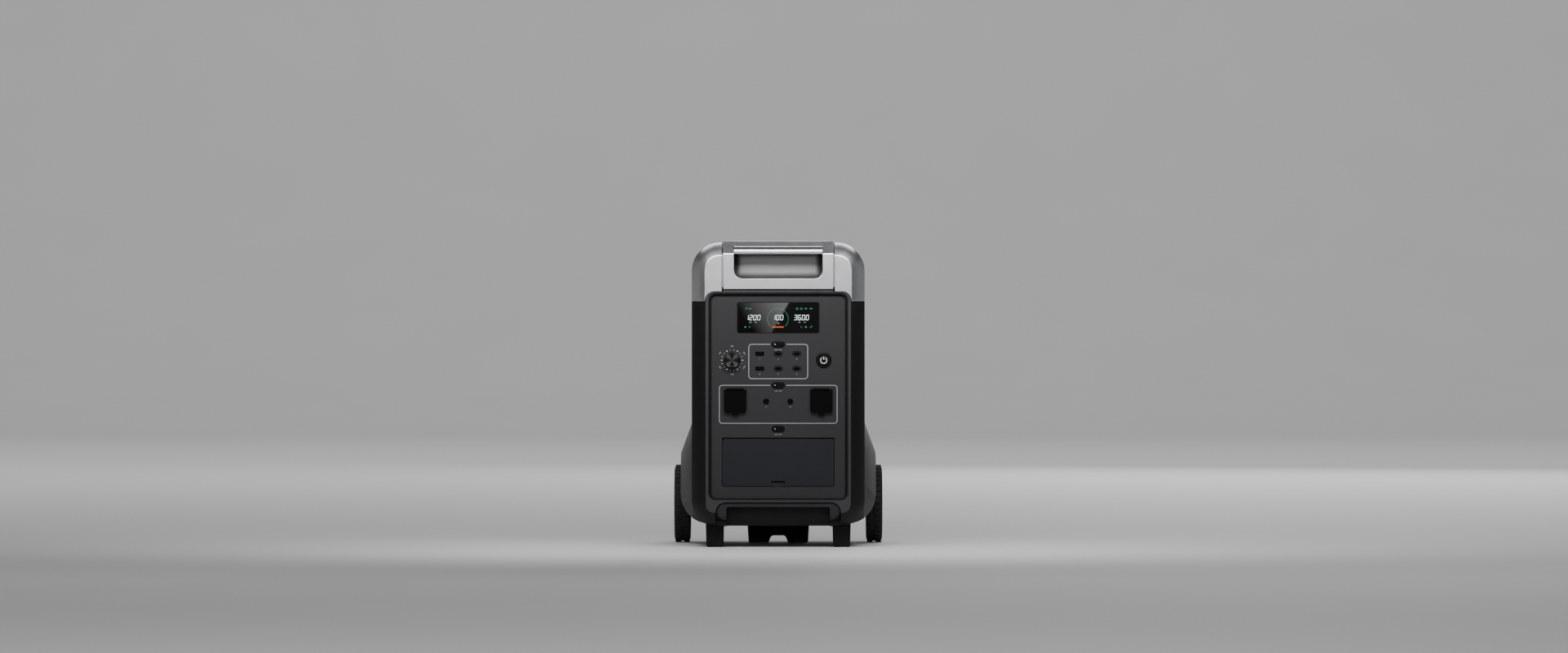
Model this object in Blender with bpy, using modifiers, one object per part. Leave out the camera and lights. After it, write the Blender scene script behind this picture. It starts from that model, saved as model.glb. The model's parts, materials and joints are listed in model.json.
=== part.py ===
"""A wheeled tower power station: a silver and black housing with a control panel, a pull handle and two wheels.

Metres, +Z up, the control panel facing -Y, the floor at z = 0 and the origin under the middle of the object.
"""

import math

import bmesh
import bpy
from mathutils import Matrix, Vector

# Fits
CLEARANCE = 0.0003  # between pieces that touch
RUNNING_GAP = 0.0005  # round anything that slides or turns
ARC_TOLERANCE = 0.00015  # how far a facet may cut inside its arc
ARC_STEPS = (math.radians(11.25), math.radians(45))  # finest and coarsest facet
WELD = 0.000002  # points this close are one
SAME_PLACE = 0.00001  # points nearer than this lie in one plane
OVERSHOOT = 0.01  # how far a cutter runs past the face that it cuts
EMBED = 0.001  # how far joined shapes reach into each other

# Housing
OVERALL_HEIGHT = 0.5266  # floor to the top of the handle housing
BODY_WIDTH = 0.297
BODY_DEPTH = 0.392
GROUND_CLEARANCE = 0.036  # floor to underside
WALL = 0.0035
FRONT_CHAMFER = 0.0224
REAR_CHAMFER = 0.014
CHAMFER_CROWN = 0.36  # 0.25 is a flat chamfer, 0.5 a round one
TOP_CORNER_RADIUS = 0.048
BOTTOM_CORNER_RADIUS = 0.042
SPLIT_DROP = 0.0112  # colour split below the top of the panel

# Control panel, its rows listed upwards as shares of the panel's height
BASE_BAND = 0.0466  # underside of the body to the panel
DOOR_SILL_SHARE = 0.061
DOOR_SHARE = 0.240
AC_SWITCH_SHARE = 0.0433  # door to the middle of the AC switch
DC_RISE_SHARE = 0.0276
DC_FRAME_SHARE = 0.1852
USB_RISE_SHARE = 0.0325
USB_FRAME_SHARE = 0.1681
DISPLAY_RISE_SHARE = 0.0551
DISPLAY_SHARE = 0.1496
PANEL_THICKNESS = 0.004
PANEL_INSET = 0.003  # behind the front face of the body
PANEL_CORNER_RADIUS = 0.010

# Bezel round the panel
BEZEL_MARGIN = 0.0012  # to the edge of the front chamfer
BEZEL_SIDE_RIM = 0.0088
BEZEL_TOP_RIM = 0.0052
BEZEL_BOTTOM_RIM = 0.0056
BEZEL_PROUD = 0.0015
BEZEL_DEPTH = 0.014
BEZEL_CORNER_RADIUS = 0.015
BEZEL_EAR_RADIUS = 0.0145
BEZEL_EDGE_ROUND = 0.0012

# Display
DISPLAY_WIDTH = 0.140
DISPLAY_CORNER_RADIUS = 0.004
DISPLAY_RIM = 0.0028  # module beyond its window, behind the panel
LENS_THICKNESS = 0.002
LENS_INSET = 0.0008
DISPLAY_MODULE_DEPTH = 0.009

# USB ports
USB_PITCH_X = 0.0317
USB_PITCH_Z = 0.0255
USB_ROW_DROP = 0.0164  # switch row to the upper port row
USB_FRAME_WIDTH = 0.101
USB_A_WIDTH = 0.0146
USB_A_HEIGHT = 0.0070
USB_A_RADIUS = 0.0006
USB_C_WIDTH = 0.0098
USB_C_HEIGHT = 0.0038
USB_SHELL = 0.0007
USB_TONGUE = 0.0018
USB_TONGUE_RISE = 0.0008
USB_TONGUE_MARGIN = 0.001
USB_C_TONGUE = 0.0008
USB_PORT_DEPTH = 0.014
USB_BOARD_THICKNESS = 0.0016
USB_BOARD_GAP = 0.002  # bottom of the ports to their board
USB_BOARD_MARGIN = 0.006

# Dial, power button and pill switches
DIAL_RISE = 0.0018  # above the middle of the ports
DIAL_GAP = 0.0150  # USB frame to the knob
KNOB_RADIUS = 0.0136
KNOB_HEIGHT = 0.0100
KNOB_DRAFT = 0.0010
KNOB_DISH = 0.0008
KNOB_LIP = 0.0015
KNOB_EDGE_ROUND = 0.0006
KNOB_ROOF = 0.003
DIAL_SHAFT_RADIUS = 0.003
DIAL_BODY_RADIUS = 0.009
DIAL_BODY_DEPTH = 0.016
POWER_GAP = 0.0145
POWER_RADIUS = 0.0130
POWER_PROUD = 0.0016
POWER_EDGE_ROUND = 0.0007
POWER_TRAVEL = 0.0012
PILL_WIDTH = 0.0220
PILL_HEIGHT = 0.0100
PILL_PROUD = 0.0014
PILL_EDGE_ROUND = 0.0005
PILL_TRAVEL = 0.0010
BUTTON_FLANGE = 0.0015  # rim behind the panel that keeps a button in
BUTTON_FLANGE_THICKNESS = 0.0012

# Direct-current sockets
DC_FRAME_WIDTH = 0.2020
FLAP_WIDTH = 0.0382
FLAP_HEIGHT = 0.0420
FLAP_MARGIN = 0.0080  # flap to the printed frame's side
FLAP_DROP = 0.0048  # frame's top to the flap's top
FLAP_THICKNESS = 0.0032
FLAP_CORNER_RADIUS = 0.0042
FLAP_TAB_WIDTH = 0.0105
FLAP_TAB_HEIGHT = 0.0042
FLAP_TAB_RADIUS = 0.0015
FLAP_TAB_FILLET = 0.0010
FLAP_SHOULDER_RADIUS = 0.0008
FLANGE_THICKNESS = 0.0015
SOCKET_BORE_RADIUS = 0.0105
SOCKET_WALL = 0.0022
SOCKET_DEPTH = 0.042
SOCKET_DROP = 0.0220  # flap's top to the middle of the bore
HINGE_EAR_WIDTH = 0.0050
PIN_RADIUS = 0.0010
PIN_COVER = 0.0010  # closed end of a pin hole
HINGE_EAR_ROUND = 0.0018
KNUCKLE_RADIUS = 0.0022
JACK_PITCH = 0.0413
JACK_RISE = 0.0370  # frame's lower edge to the jacks
JACK_RADIUS = 0.0046
JACK_BORE_RADIUS = 0.0031
JACK_PIN_RADIUS = 0.0010
JACK_DEPTH = 0.013
JACK_PROUD = 0.0006
JACK_FLOOR = 0.003
DC_BOARD_MARGIN = 0.006

# AC outlet bay and its door
DOOR_WIDTH = 0.1930
DOOR_THICKNESS = 0.0030
DOOR_CORNER_RADIUS = 0.005
DOOR_TOP_RADIUS = 0.0005
DOOR_GAP = 0.0005
DOOR_TOP_GAP = 0.0014
DOOR_KNUCKLE_RADIUS = 0.0025
DOOR_PIN_REACH = 0.006  # into the panel at each end
LATCH_WIDTH = 0.0226
LATCH_HEIGHT = 0.0066
LATCH_TRAVEL = 0.0020
LATCH_FLANGE = 0.0025
LATCH_INSET = 0.0004
LATCH_CORNER_RADIUS = 0.0008
LATCH_NOTCH_RADIUS = 0.0010
LATCH_FLANGE_THICKNESS = 0.0015
TRAY_DEPTH = 0.040
TRAY_WALL = 0.0025
TRAY_TOP_RADIUS = 0.002
OUTLET_PITCH = 0.044
OUTLET_FACE = 0.034
OUTLET_HEIGHT = 0.006
OUTLET_BODY_DEPTH = 0.018
OUTLET_SLOT_DEPTH = 0.009
OUTLET_LAND = 0.003  # face beyond the body behind it
OUTLET_CORNER_RADIUS = 0.004
OUTLET_EDGE_ROUND = 0.0012
OUTLET_BODY_RADIUS = 0.002
BLADE_SPACING = 0.0128
BLADE_RISE = 0.003  # above the middle of the outlet
BLADE_WIDTH = 0.0024
LIVE_SLOT_HEIGHT = 0.0074
NEUTRAL_SLOT_HEIGHT = 0.0086
EARTH_DROP = 0.0082
EARTH_RADIUS = 0.0026

# Pull handle and its housing
HOUSING_WIDTH = 0.1888
HOUSING_DEPTH = 0.110
HOUSING_RISE = 0.0034  # above the shoulders
HOUSING_GROOVE = 0.0020  # between housing and shoulders
HOUSING_EDGE_ROUND = 0.004
GROOVE_DEPTH = 0.003
BEZEL_GROOVE = 0.0046  # between housing and bezel
POCKET_SILL = 0.0176
POCKET_SIDE = 0.0183  # side of the housing to the pocket
POCKET_HEIGHT = 0.0420
POCKET_DEPTH = 0.040
POCKET_CORNER_RADIUS = 0.014
POCKET_DRAFT = 0.008
GRIP_HEIGHT = 0.0237
GRIP_DEPTH = 0.074
BAR_HEIGHT = 0.0092
BAR_DEPTH = 0.014
BAR_ROUND = 0.0038
BAR_INSET = 0.0008  # behind the front face
CORE_RISE = 0.0005  # above the underside of the bar
CORE_EDGE_ROUND = 0.0010
COVER_LIP_ROUND = 0.0006
COVER_REAR_ROUND = 0.0020
GRIP_SEAM = 0.0030  # dark gap between bar and cover
SEAM_SETBACK = 0.0075
HOUSING_FLOOR = 0.004
ROD_INSET = 0.0324  # side of the housing to the middle of a rod
ROD_SETBACK = 0.060  # front face to the rods
ROD_RADIUS = 0.0090
TUBE_WALL = 0.0012
TUBE_GAP = 0.0004
TUBE_STEP = 0.003  # each tube ends this far above the one round it
HANDLE_TRAVEL = 0.180  # of each stage
TUBE_OVERLAP = 0.034

# Base
ARCH_WIDTH = 0.2136
ARCH_CORNER_RADIUS = 0.017
ARCH_BAR = 0.0077
ARCH_LEG = 0.0182
ARCH_DROP = 0.0322  # top of the arch to the ends of its legs
ARCH_DEPTH = 0.022
ARCH_PROUD = 0.001
ARCH_TOE = 0.0130  # slope at the front of each leg's end
NOTCH_DEPTH = 0.045
NOTCH_CORNER_RADIUS = 0.003
FOOT_WIDTH = 0.0322
FOOT_LENGTH = 0.060
FOOT_INNER_X = 0.0928
FOOT_SETBACK = 0.025
FOOT_TAPER = 0.0016
FOOT_EDGE_ROUND = 0.003
SKID_WIDTH = 0.1072
SKID_LENGTH = 0.090
SKID_SETBACK = 0.170
SKID_CLEARANCE = 0.003
SKID_TAPER = 0.002
SKID_ARCH_WIDTH = 0.034
SKID_ARCH_HEIGHT = 0.0126
SKID_ARCH_TAPER = 0.72  # top of the arch to its foot
SKID_ARCH_RADIUS = 0.006
SKID_EDGE_ROUND = 0.003
SKID_TOE_ROUND = 0.001

# Wheels
WHEEL_RADIUS = 0.068
WHEEL_WIDTH = 0.0284
WHEEL_STANDOFF = 0.0055  # body side to the tyre
AXLE_FROM_REAR = 0.075
AXLE_RADIUS = 0.007
TYRE_THICKNESS = 0.020
TYRE_SHOULDER = 0.008
TYRE_SIDE = 0.006  # flat of the side wall
TYRE_BEAD = 0.004  # edge set in at the rim
TREAD_GROOVE_WIDTH = 0.003
TREAD_GROOVE_DEPTH = 0.0025
HUB_BOSS_RADIUS = 0.013
HUB_RIM = 0.005
HUB_LAND = 0.005  # boss to the windows
HUB_WEB = 0.008
HUB_CAP = 0.003
WHEEL_SIDES = 32
SPOKE_COUNT = 5
SPOKE_WIDTH = 0.010
FENDER_REACH = 0.0223  # beyond the body side
FENDER_FACE_RADIUS = 0.090
FENDER_BASE_RADIUS = 0.150
FENDER_GAP = 0.007  # tyre to the wheel opening
FENDER_BOTTOM_RADIUS = 0.052

# Rear cover and inlets
REAR_COVER_WIDTH = 0.226
REAR_COVER_HEAD = 0.0243  # cover to the colour split
REAR_COVER_SILL = 0.052  # underside of the body to the cover
REAR_COVER_THICKNESS = 0.003
REAR_CORNER_RADIUS = 0.012
REAR_SLOT_COUNT = 7
REAR_SLOT_PITCH = 0.011
REAR_SLOT_LENGTH = 0.070
REAR_SLOT_HEIGHT = 0.004
REAR_SLOT_SPACING = 0.104
REAR_SLOT_SILL = 0.030
INLET_RISE = 0.225  # cover's lower edge to the inlets
INLET_SPACING = 0.100
INLET_WIDTH = 0.032
INLET_HEIGHT = 0.026
INLET_FLANGE = 0.003
INLET_DEPTH = 0.024
INLET_CAVITY_DEPTH = 0.016
INLET_WALL = 0.003
INLET_CORNER_RADIUS = 0.003
INLET_FLANGE_RADIUS = 0.004
INLET_WELL_RADIUS = 0.0015

# Cooling
FAN_SIZE = 0.092
FAN_DEPTH = 0.025
FAN_BORE_RADIUS = 0.0435
FAN_HUB_RADIUS = 0.018
FAN_BLADE_COUNT = 7
FAN_BLADE_GAP = 0.0020
FAN_BLADE_THICKNESS = 0.0018
FAN_BLADE_PITCH = math.radians(38)
FAN_SPIDER = 0.003
FAN_SPOKE_WIDTH = 0.005
FAN_BLADE_ROUND = 0.003
FAN_CORNER_RADIUS = 0.004
FAN_FROM_REAR = 0.165
FAN_ABOVE_DECK = 0.012
GRILLE_SIZE = 0.104
GRILLE_THICKNESS = 0.003
GRILLE_CORNER_RADIUS = 0.008
LOUVRE_COUNT = 9
LOUVRE_PITCH = 0.0095
LOUVRE_HEIGHT = 0.0045
LOUVRE_LENGTH = 0.084

# Battery and electronics
CELL_COUNT = 8  # in each stack
CELL_HEIGHT = 0.185
CELL_SEAM = 0.0012
STACK_GAP = 0.004
BATTERY_SETBACK = 0.072  # front face to the tray
BATTERY_SIDE_GAP = 0.007
BATTERY_AXLE_GAP = 0.005
TRAY_RISE = 0.0215  # inner floor to the tray's plate
TRAY_PLATE = 0.003
TRAY_LIP = 0.022
TRAY_RAIL_WIDTH = 0.020
TRAY_RAIL_SPACING = 0.150
BOARD_THICKNESS = 0.002
BOARD_STANDOFF = 0.006
BOARD_CORNER_RADIUS = 0.002
STANDOFF_RADIUS = 0.004
BMS_LENGTH = 0.150
BMS_WIDTH = 0.090
DECK_RISE = 0.012  # cells to the deck
DECK_PLATE = 0.002
DECK_FLANGE = 0.018
DECK_REAR_GAP = 0.060
DECK_FRONT_GAP = 0.010  # rods to the deck
INVERTER_WIDTH = 0.180
INVERTER_LENGTH = 0.150
INVERTER_MARGIN = 0.006  # board edge to the parts on it
TRANSFORMER_SIZE = 0.045
CAPACITOR_RADIUS = 0.014
CAPACITOR_HEIGHT = 0.036
SINK_LENGTH = 0.090
SINK_WIDTH = 0.080
SINK_BASE = 0.006
SINK_HEIGHT = 0.052
FIN_COUNT = 9
FIN_THICKNESS = 0.0025

# Places worked out from the sizes above
HALF_WIDTH = BODY_WIDTH / 2
FLAP_REACH = FLANGE_THICKNESS + 2 * CLEARANCE + FLAP_THICKNESS - PANEL_INSET
KNOB_REACH = KNOB_HEIGHT + CLEARANCE - PANEL_INSET
FRONT_REACH = max(KNOB_REACH, FLAP_REACH, BEZEL_PROUD)
FRONT_Y = FRONT_REACH - (BODY_DEPTH + FRONT_REACH) / 2
REAR_Y = FRONT_Y + BODY_DEPTH
PANEL_Y = FRONT_Y + PANEL_INSET
PANEL_BACK_Y = PANEL_Y + PANEL_THICKNESS

HOUSING_TOP = OVERALL_HEIGHT
SHOULDER_TOP = HOUSING_TOP - HOUSING_RISE
GRIP_BOTTOM = HOUSING_TOP - GRIP_HEIGHT
POCKET_BOTTOM = GRIP_BOTTOM - POCKET_HEIGHT
HOUSING_BOTTOM = POCKET_BOTTOM - POCKET_SILL
BEZEL_TOP = HOUSING_BOTTOM - BEZEL_GROOVE

PANEL_TOP = BEZEL_TOP - BEZEL_TOP_RIM
PANEL_BOTTOM = GROUND_CLEARANCE + BASE_BAND
PANEL_HEIGHT = PANEL_TOP - PANEL_BOTTOM
DOOR_BOTTOM = PANEL_BOTTOM + DOOR_SILL_SHARE * PANEL_HEIGHT
DOOR_TOP = DOOR_BOTTOM + DOOR_SHARE * PANEL_HEIGHT
AC_SWITCH_Z = DOOR_TOP + AC_SWITCH_SHARE * PANEL_HEIGHT
DC_FRAME_BOTTOM = AC_SWITCH_Z + DC_RISE_SHARE * PANEL_HEIGHT
DC_FRAME_TOP = DC_FRAME_BOTTOM + DC_FRAME_SHARE * PANEL_HEIGHT
USB_FRAME_BOTTOM = DC_FRAME_TOP + USB_RISE_SHARE * PANEL_HEIGHT
USB_FRAME_TOP = USB_FRAME_BOTTOM + USB_FRAME_SHARE * PANEL_HEIGHT
DISPLAY_BOTTOM = USB_FRAME_TOP + DISPLAY_RISE_SHARE * PANEL_HEIGHT
DISPLAY_HEIGHT = DISPLAY_SHARE * PANEL_HEIGHT
DISPLAY_Z = DISPLAY_BOTTOM + DISPLAY_HEIGHT / 2
SPLIT_Z = PANEL_TOP - SPLIT_DROP

BEZEL_HALF_WIDTH = HALF_WIDTH - FRONT_CHAMFER - BEZEL_MARGIN
BEZEL_EAR_BOTTOM = GROUND_CLEARANCE + FRONT_CHAMFER + BEZEL_MARGIN / 3
PANEL_HALF_WIDTH = BEZEL_HALF_WIDTH - BEZEL_SIDE_RIM
ARCH_TOP = PANEL_BOTTOM - BEZEL_BOTTOM_RIM
NOTCH_TOP = ARCH_TOP - ARCH_BAR
BEAM_TOP = ARCH_TOP + WALL

POCKET_WIDTH = HOUSING_WIDTH - 2 * POCKET_SIDE
ROD_X = HOUSING_WIDTH / 2 - ROD_INSET
ROD_Y = FRONT_Y + ROD_SETBACK

DIAL_X = -(USB_FRAME_WIDTH / 2 + DIAL_GAP + KNOB_RADIUS)
POWER_X = USB_FRAME_WIDTH / 2 + POWER_GAP + POWER_RADIUS
DIAL_Z = USB_FRAME_TOP - USB_ROW_DROP - USB_PITCH_Z / 2 + DIAL_RISE
USB_ROWS = [USB_FRAME_TOP - USB_ROW_DROP, USB_FRAME_TOP - USB_ROW_DROP - USB_PITCH_Z]
FLAP_X = DC_FRAME_WIDTH / 2 - FLAP_MARGIN - FLAP_WIDTH / 2
FLAP_TOP = DC_FRAME_TOP - FLAP_DROP
SOCKET_Z = FLAP_TOP - SOCKET_DROP
JACK_Z = DC_FRAME_BOTTOM + JACK_RISE

AXLE_Y = REAR_Y - AXLE_FROM_REAR
WHEEL_INNER_X = HALF_WIDTH + WHEEL_STANDOFF
WHEEL_OUTER_X = WHEEL_INNER_X + WHEEL_WIDTH

FLOOR_Z = GROUND_CLEARANCE + WALL
INNER_HALF_WIDTH = HALF_WIDTH - WALL
TRAY_Z = FLOOR_Z + TRAY_RISE
BATTERY_FRONT_Y = FRONT_Y + BATTERY_SETBACK
BATTERY_REAR_Y = AXLE_Y - AXLE_RADIUS - BATTERY_AXLE_GAP
BATTERY_HALF_WIDTH = INNER_HALF_WIDTH - BATTERY_SIDE_GAP
CELL_BOTTOM = TRAY_Z + TRAY_PLATE + CLEARANCE
CELL_TOP = CELL_BOTTOM + CELL_HEIGHT
DECK_Z = CELL_TOP + DECK_RISE
DECK_FRONT_Y = ROD_Y + ROD_RADIUS + DECK_FRONT_GAP
DECK_REAR_Y = REAR_Y - DECK_REAR_GAP
FAN_Y = REAR_Y - FAN_FROM_REAR
FAN_Z = DECK_Z + FAN_ABOVE_DECK + FAN_SIZE / 2

PARTS = "power_station"
CUTTERS = "cutters"


# Scene and materials


def clear_scene():
    for obj in list(bpy.data.objects):
        bpy.data.objects.remove(obj, do_unlink=True)
    for name in (PARTS, CUTTERS):
        collection = bpy.data.collections.new(name)
        bpy.context.scene.collection.children.link(collection)


def material(name, colour, roughness, metallic=0.0):
    """A plain Principled finish, made once for each name."""
    found = bpy.data.materials.get(name)
    if found:
        return found
    made = bpy.data.materials.new(name)
    made.use_nodes = True
    shader = made.node_tree.nodes["Principled BSDF"]
    shader.inputs["Base Color"].default_value = (*colour, 1.0)
    shader.inputs["Roughness"].default_value = roughness
    shader.inputs["Metallic"].default_value = metallic
    return made


def silver_plastic():
    return material("silver_plastic", (0.47, 0.48, 0.49), 0.42, 0.25)


def black_plastic():
    return material("black_plastic", (0.012, 0.012, 0.013), 0.5)


def panel_plastic():
    return material("panel_plastic", (0.05, 0.051, 0.054), 0.5)


def gloss_black():
    return material("gloss_black", (0.006, 0.006, 0.007), 0.2)


def black_rubber():
    return material("black_rubber", (0.011, 0.011, 0.011), 0.8)


def polished_aluminium():
    return material("polished_aluminium", (0.86, 0.87, 0.88), 0.18, 1.0)


def brushed_steel():
    return material("brushed_steel", (0.5, 0.5, 0.5), 0.35, 1.0)


def dark_glass():
    return material("dark_glass", (0.004, 0.004, 0.005), 0.05)


def circuit_board():
    return material("circuit_board", (0.02, 0.12, 0.05), 0.5)


def cell_wrap():
    return material("cell_wrap", (0.05, 0.14, 0.4), 0.45)


def hub_plastic():
    return material("hub_plastic", (0.03, 0.03, 0.032), 0.45)


def sheet_metal():
    return material("sheet_metal", (0.6, 0.61, 0.62), 0.4, 1.0)


# Outlines


def arc_step(radius):
    finest, coarsest = ARC_STEPS
    return min(max(2 * math.acos(max(0.0, 1 - ARC_TOLERANCE / radius)), finest), coarsest)


def outline(corners):
    """Points of a closed outline from its corners (u, v, radius), each rounded by an arc."""
    points = []
    for i, (u, v, radius) in enumerate(corners):
        corner = Vector((u, v))
        before = (Vector(corners[i - 1][:2]) - corner).normalized()
        after = (Vector(corners[(i + 1) % len(corners)][:2]) - corner).normalized()
        if radius <= 0:
            points.append((u, v))
            continue
        half = before.angle(after) / 2
        middle = corner + (before + after).normalized() * (radius / math.sin(half))
        reach = radius / math.tan(half)
        first = corner + before * reach - middle
        last = corner + after * reach - middle
        start = math.atan2(first.y, first.x)
        turn = math.remainder(math.atan2(last.y, last.x) - start, math.tau)
        steps = max(1, round(abs(turn) / arc_step(radius)))
        for step in range(steps + 1):
            angle = start + turn * step / steps
            points.append((middle.x + radius * math.cos(angle), middle.y + radius * math.sin(angle)))
    return [point for i, point in enumerate(points) if math.dist(point, points[i - 1]) > WELD]


def rectangle(u0, v0, u1, v1, radius=0.0, top_radius=None):
    """A rounded rectangle, with its own radius for the two upper corners if one is given."""
    upper = radius if top_radius is None else top_radius
    return outline([(u0, v0, radius), (u1, v0, radius), (u1, v1, upper), (u0, v1, upper)])


def centred(u, v, width, height, radius=0.0):
    return rectangle(u - width / 2, v - height / 2, u + width / 2, v + height / 2, radius)


def circle(u, v, radius, sides=20):
    turns = [math.tau * i / sides for i in range(sides)]
    return [(u + radius * math.cos(a), v + radius * math.sin(a)) for a in turns]


def pill(u, v, width, height):
    return centred(u, v, width, height, height / 2)


# Solids

# Where a flat outline's two axes and its thickness point, for a prism along each axis.
PRISM_FRAMES = {
    "X": Matrix(((0, 0, 1), (1, 0, 0), (0, 1, 0))).to_4x4(),
    "Y": Matrix(((1, 0, 0), (0, 0, -1), (0, 1, 0))).to_4x4(),
    "Z": Matrix.Identity(4),
}


def new_part(name, mesh, finish):
    obj = bpy.data.objects.new(name, mesh)
    bpy.data.collections[PARTS].objects.link(obj)
    if finish:
        mesh.materials.clear()
        mesh.materials.append(finish)
    return obj


def baked(holder):
    """The evaluated mesh of an object that is then removed, with its loose caps welded."""
    bpy.context.view_layer.update()
    graph = bpy.context.evaluated_depsgraph_get()
    mesh = bpy.data.meshes.new_from_object(holder.evaluated_get(graph))
    bpy.data.objects.remove(holder, do_unlink=True)
    work = bmesh.new()
    work.from_mesh(mesh)
    bmesh.ops.remove_doubles(work, verts=work.verts, dist=WELD)
    bmesh.ops.recalc_face_normals(work, faces=work.faces)
    work.to_mesh(mesh)
    work.free()
    return mesh


def pierced_plate(name, outlines, thickness):
    """A filled flat curve, whose inner outlines are holes."""
    curve = bpy.data.curves.new(name, "CURVE")
    curve.dimensions = "2D"
    curve.fill_mode = "BOTH"
    curve.extrude = thickness / 2
    for points in outlines:
        spline = curve.splines.new("POLY")
        spline.points.add(len(points) - 1)
        for point, (u, v) in zip(spline.points, points):
            point.co = (u, v, 0, 1)
        spline.use_cyclic_u = True
    holder = bpy.data.objects.new(name + "_outline", curve)
    bpy.context.scene.collection.objects.link(holder)
    return baked(holder)


def plain_plate(name, points, thickness):
    """One flat face, extruded."""
    mesh = bpy.data.meshes.new(name)
    work = bmesh.new()
    face = work.faces.new([work.verts.new((u, v, -thickness / 2)) for u, v in points])
    raised = bmesh.ops.extrude_face_region(work, geom=[face])["geom"]
    moved = [item for item in raised if isinstance(item, bmesh.types.BMVert)]
    bmesh.ops.translate(work, verts=moved, vec=(0, 0, thickness))
    bmesh.ops.recalc_face_normals(work, faces=work.faces)
    work.to_mesh(mesh)
    work.free()
    return mesh


def prism(name, outlines, axis, start, end, finish=None):
    """A flat outline, and any holes in it, carried along an axis from start to end."""
    thickness = abs(end - start)
    if len(outlines) == 1:
        mesh = plain_plate(name, outlines[0], thickness)
    else:
        mesh = pierced_plate(name, outlines, thickness)
    along = {"X": Vector((1, 0, 0)), "Y": Vector((0, 1, 0)), "Z": Vector((0, 0, 1))}[axis]
    mesh.transform(Matrix.Translation(along * (start + end) / 2) @ PRISM_FRAMES[axis])
    return new_part(name, mesh, finish)


def box(name, low, high, finish=None):
    mesh = bpy.data.meshes.new(name)
    work = bmesh.new()
    bmesh.ops.create_cube(work, size=1.0)
    size = Vector(high) - Vector(low)
    middle = (Vector(high) + Vector(low)) / 2
    bmesh.ops.transform(work, matrix=Matrix.Translation(middle) @ Matrix.Diagonal((*size, 1)), verts=work.verts)
    work.to_mesh(mesh)
    work.free()
    return new_part(name, mesh, finish)


def cylinder(name, axis, u, v, radius, start, end, sides=20, finish=None):
    return prism(name, [circle(u, v, radius, sides)], axis, start, end, finish)


def turned(name, profile, axis, u, v, steps, finish=None):
    """A profile of (radius, place along the axis), run down its outer side, turned about (u, v)."""
    mesh = bpy.data.meshes.new(name)
    work = bmesh.new()
    points = [work.verts.new((radius, 0, height)) for radius, height in profile]
    ends = points[1:] + ([points[0]] if profile[0][0] > 0 else [])
    for first, last in zip(points, ends):
        work.edges.new((first, last))
    work.to_mesh(mesh)
    work.free()
    holder = bpy.data.objects.new(name + "_profile", mesh)
    bpy.context.scene.collection.objects.link(holder)
    screw = holder.modifiers.new("turn", "SCREW")
    screw.axis = "Z"
    screw.steps = screw.render_steps = steps
    screw.use_merge_vertices = True
    screw.merge_threshold = SAME_PLACE
    made = baked(holder)
    frame = PRISM_FRAMES[axis]
    if axis == "Y":
        frame = frame @ Matrix.Diagonal((1, 1, -1, 1))
        made.flip_normals()
    made.transform(frame @ Matrix.Translation((u, v, 0)))
    return new_part(name, made, finish)


def round_edges(obj, width, segments, chosen, crown=0.5):
    """Bevels the edges that the test picks out, given the edge's two ends."""
    work = bmesh.new()
    work.from_mesh(obj.data)
    picked = [
        edge
        for edge in work.edges
        if len(edge.link_faces) == 2
        and edge.calc_face_angle() > 0.3
        and chosen(*(vert.co for vert in edge.verts))
    ]
    bmesh.ops.bevel(
        work, geom=picked, offset=width, segments=segments, profile=crown, affect="EDGES", clamp_overlap=True
    )
    bmesh.ops.remove_doubles(work, verts=work.verts, dist=WELD)
    work.to_mesh(obj.data)
    work.free()
    return obj


def at_y(y):
    """Picks edges that lie in the plane of one y."""
    return lambda a, b: abs(a.y - y) < SAME_PLACE and abs(b.y - y) < SAME_PLACE


def at_z(z):
    """Picks edges that lie at one height."""
    return lambda a, b: abs(a.z - z) < SAME_PLACE and abs(b.z - z) < SAME_PLACE


def combine(target, tool, operation):
    """A Boolean on the target. The tool becomes a wire helper in the cutters' collection."""
    modifier = target.modifiers.new(tool.name, "BOOLEAN")
    modifier.operation = operation
    modifier.solver = "EXACT"
    modifier.object = tool
    if tool.name not in bpy.data.collections[CUTTERS].objects:
        bpy.data.collections[PARTS].objects.unlink(tool)
        bpy.data.collections[CUTTERS].objects.link(tool)
    tool.hide_render = True
    tool.display_type = "WIRE"
    return target


def cut(target, *tools):
    for tool in tools:
        combine(target, tool, "DIFFERENCE")
    return target


def join(target, *tools):
    for tool in tools:
        combine(target, tool, "UNION")
    return target


def mirrored_name(name, side):
    return name + ("_right" if side > 0 else "_left")


def set_origin(obj, point):
    """Moves an object's origin onto its joint's axis, leaving its shape in place."""
    obj.data.transform(Matrix.Translation(-Vector(point)))
    obj.location = point
    return obj


def envelope(name, inset=0.0):
    """The housing's outer form, or the same form brought in all round by a wall."""
    half = HALF_WIDTH - inset
    points = rectangle(
        -half,
        GROUND_CLEARANCE + inset,
        half,
        SHOULDER_TOP - inset,
        BOTTOM_CORNER_RADIUS - inset,
        TOP_CORNER_RADIUS - inset,
    )
    front, rear = FRONT_Y + inset, REAR_Y - inset
    form = prism(name, [points], "Y", front, rear)
    slack = inset * (2 - math.sqrt(2))
    round_edges(form, FRONT_CHAMFER - slack, 3, at_y(front), CHAMFER_CROWN)
    round_edges(form, REAR_CHAMFER - slack, 3, at_y(rear), CHAMFER_CROWN)
    return form


# Housing


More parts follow.
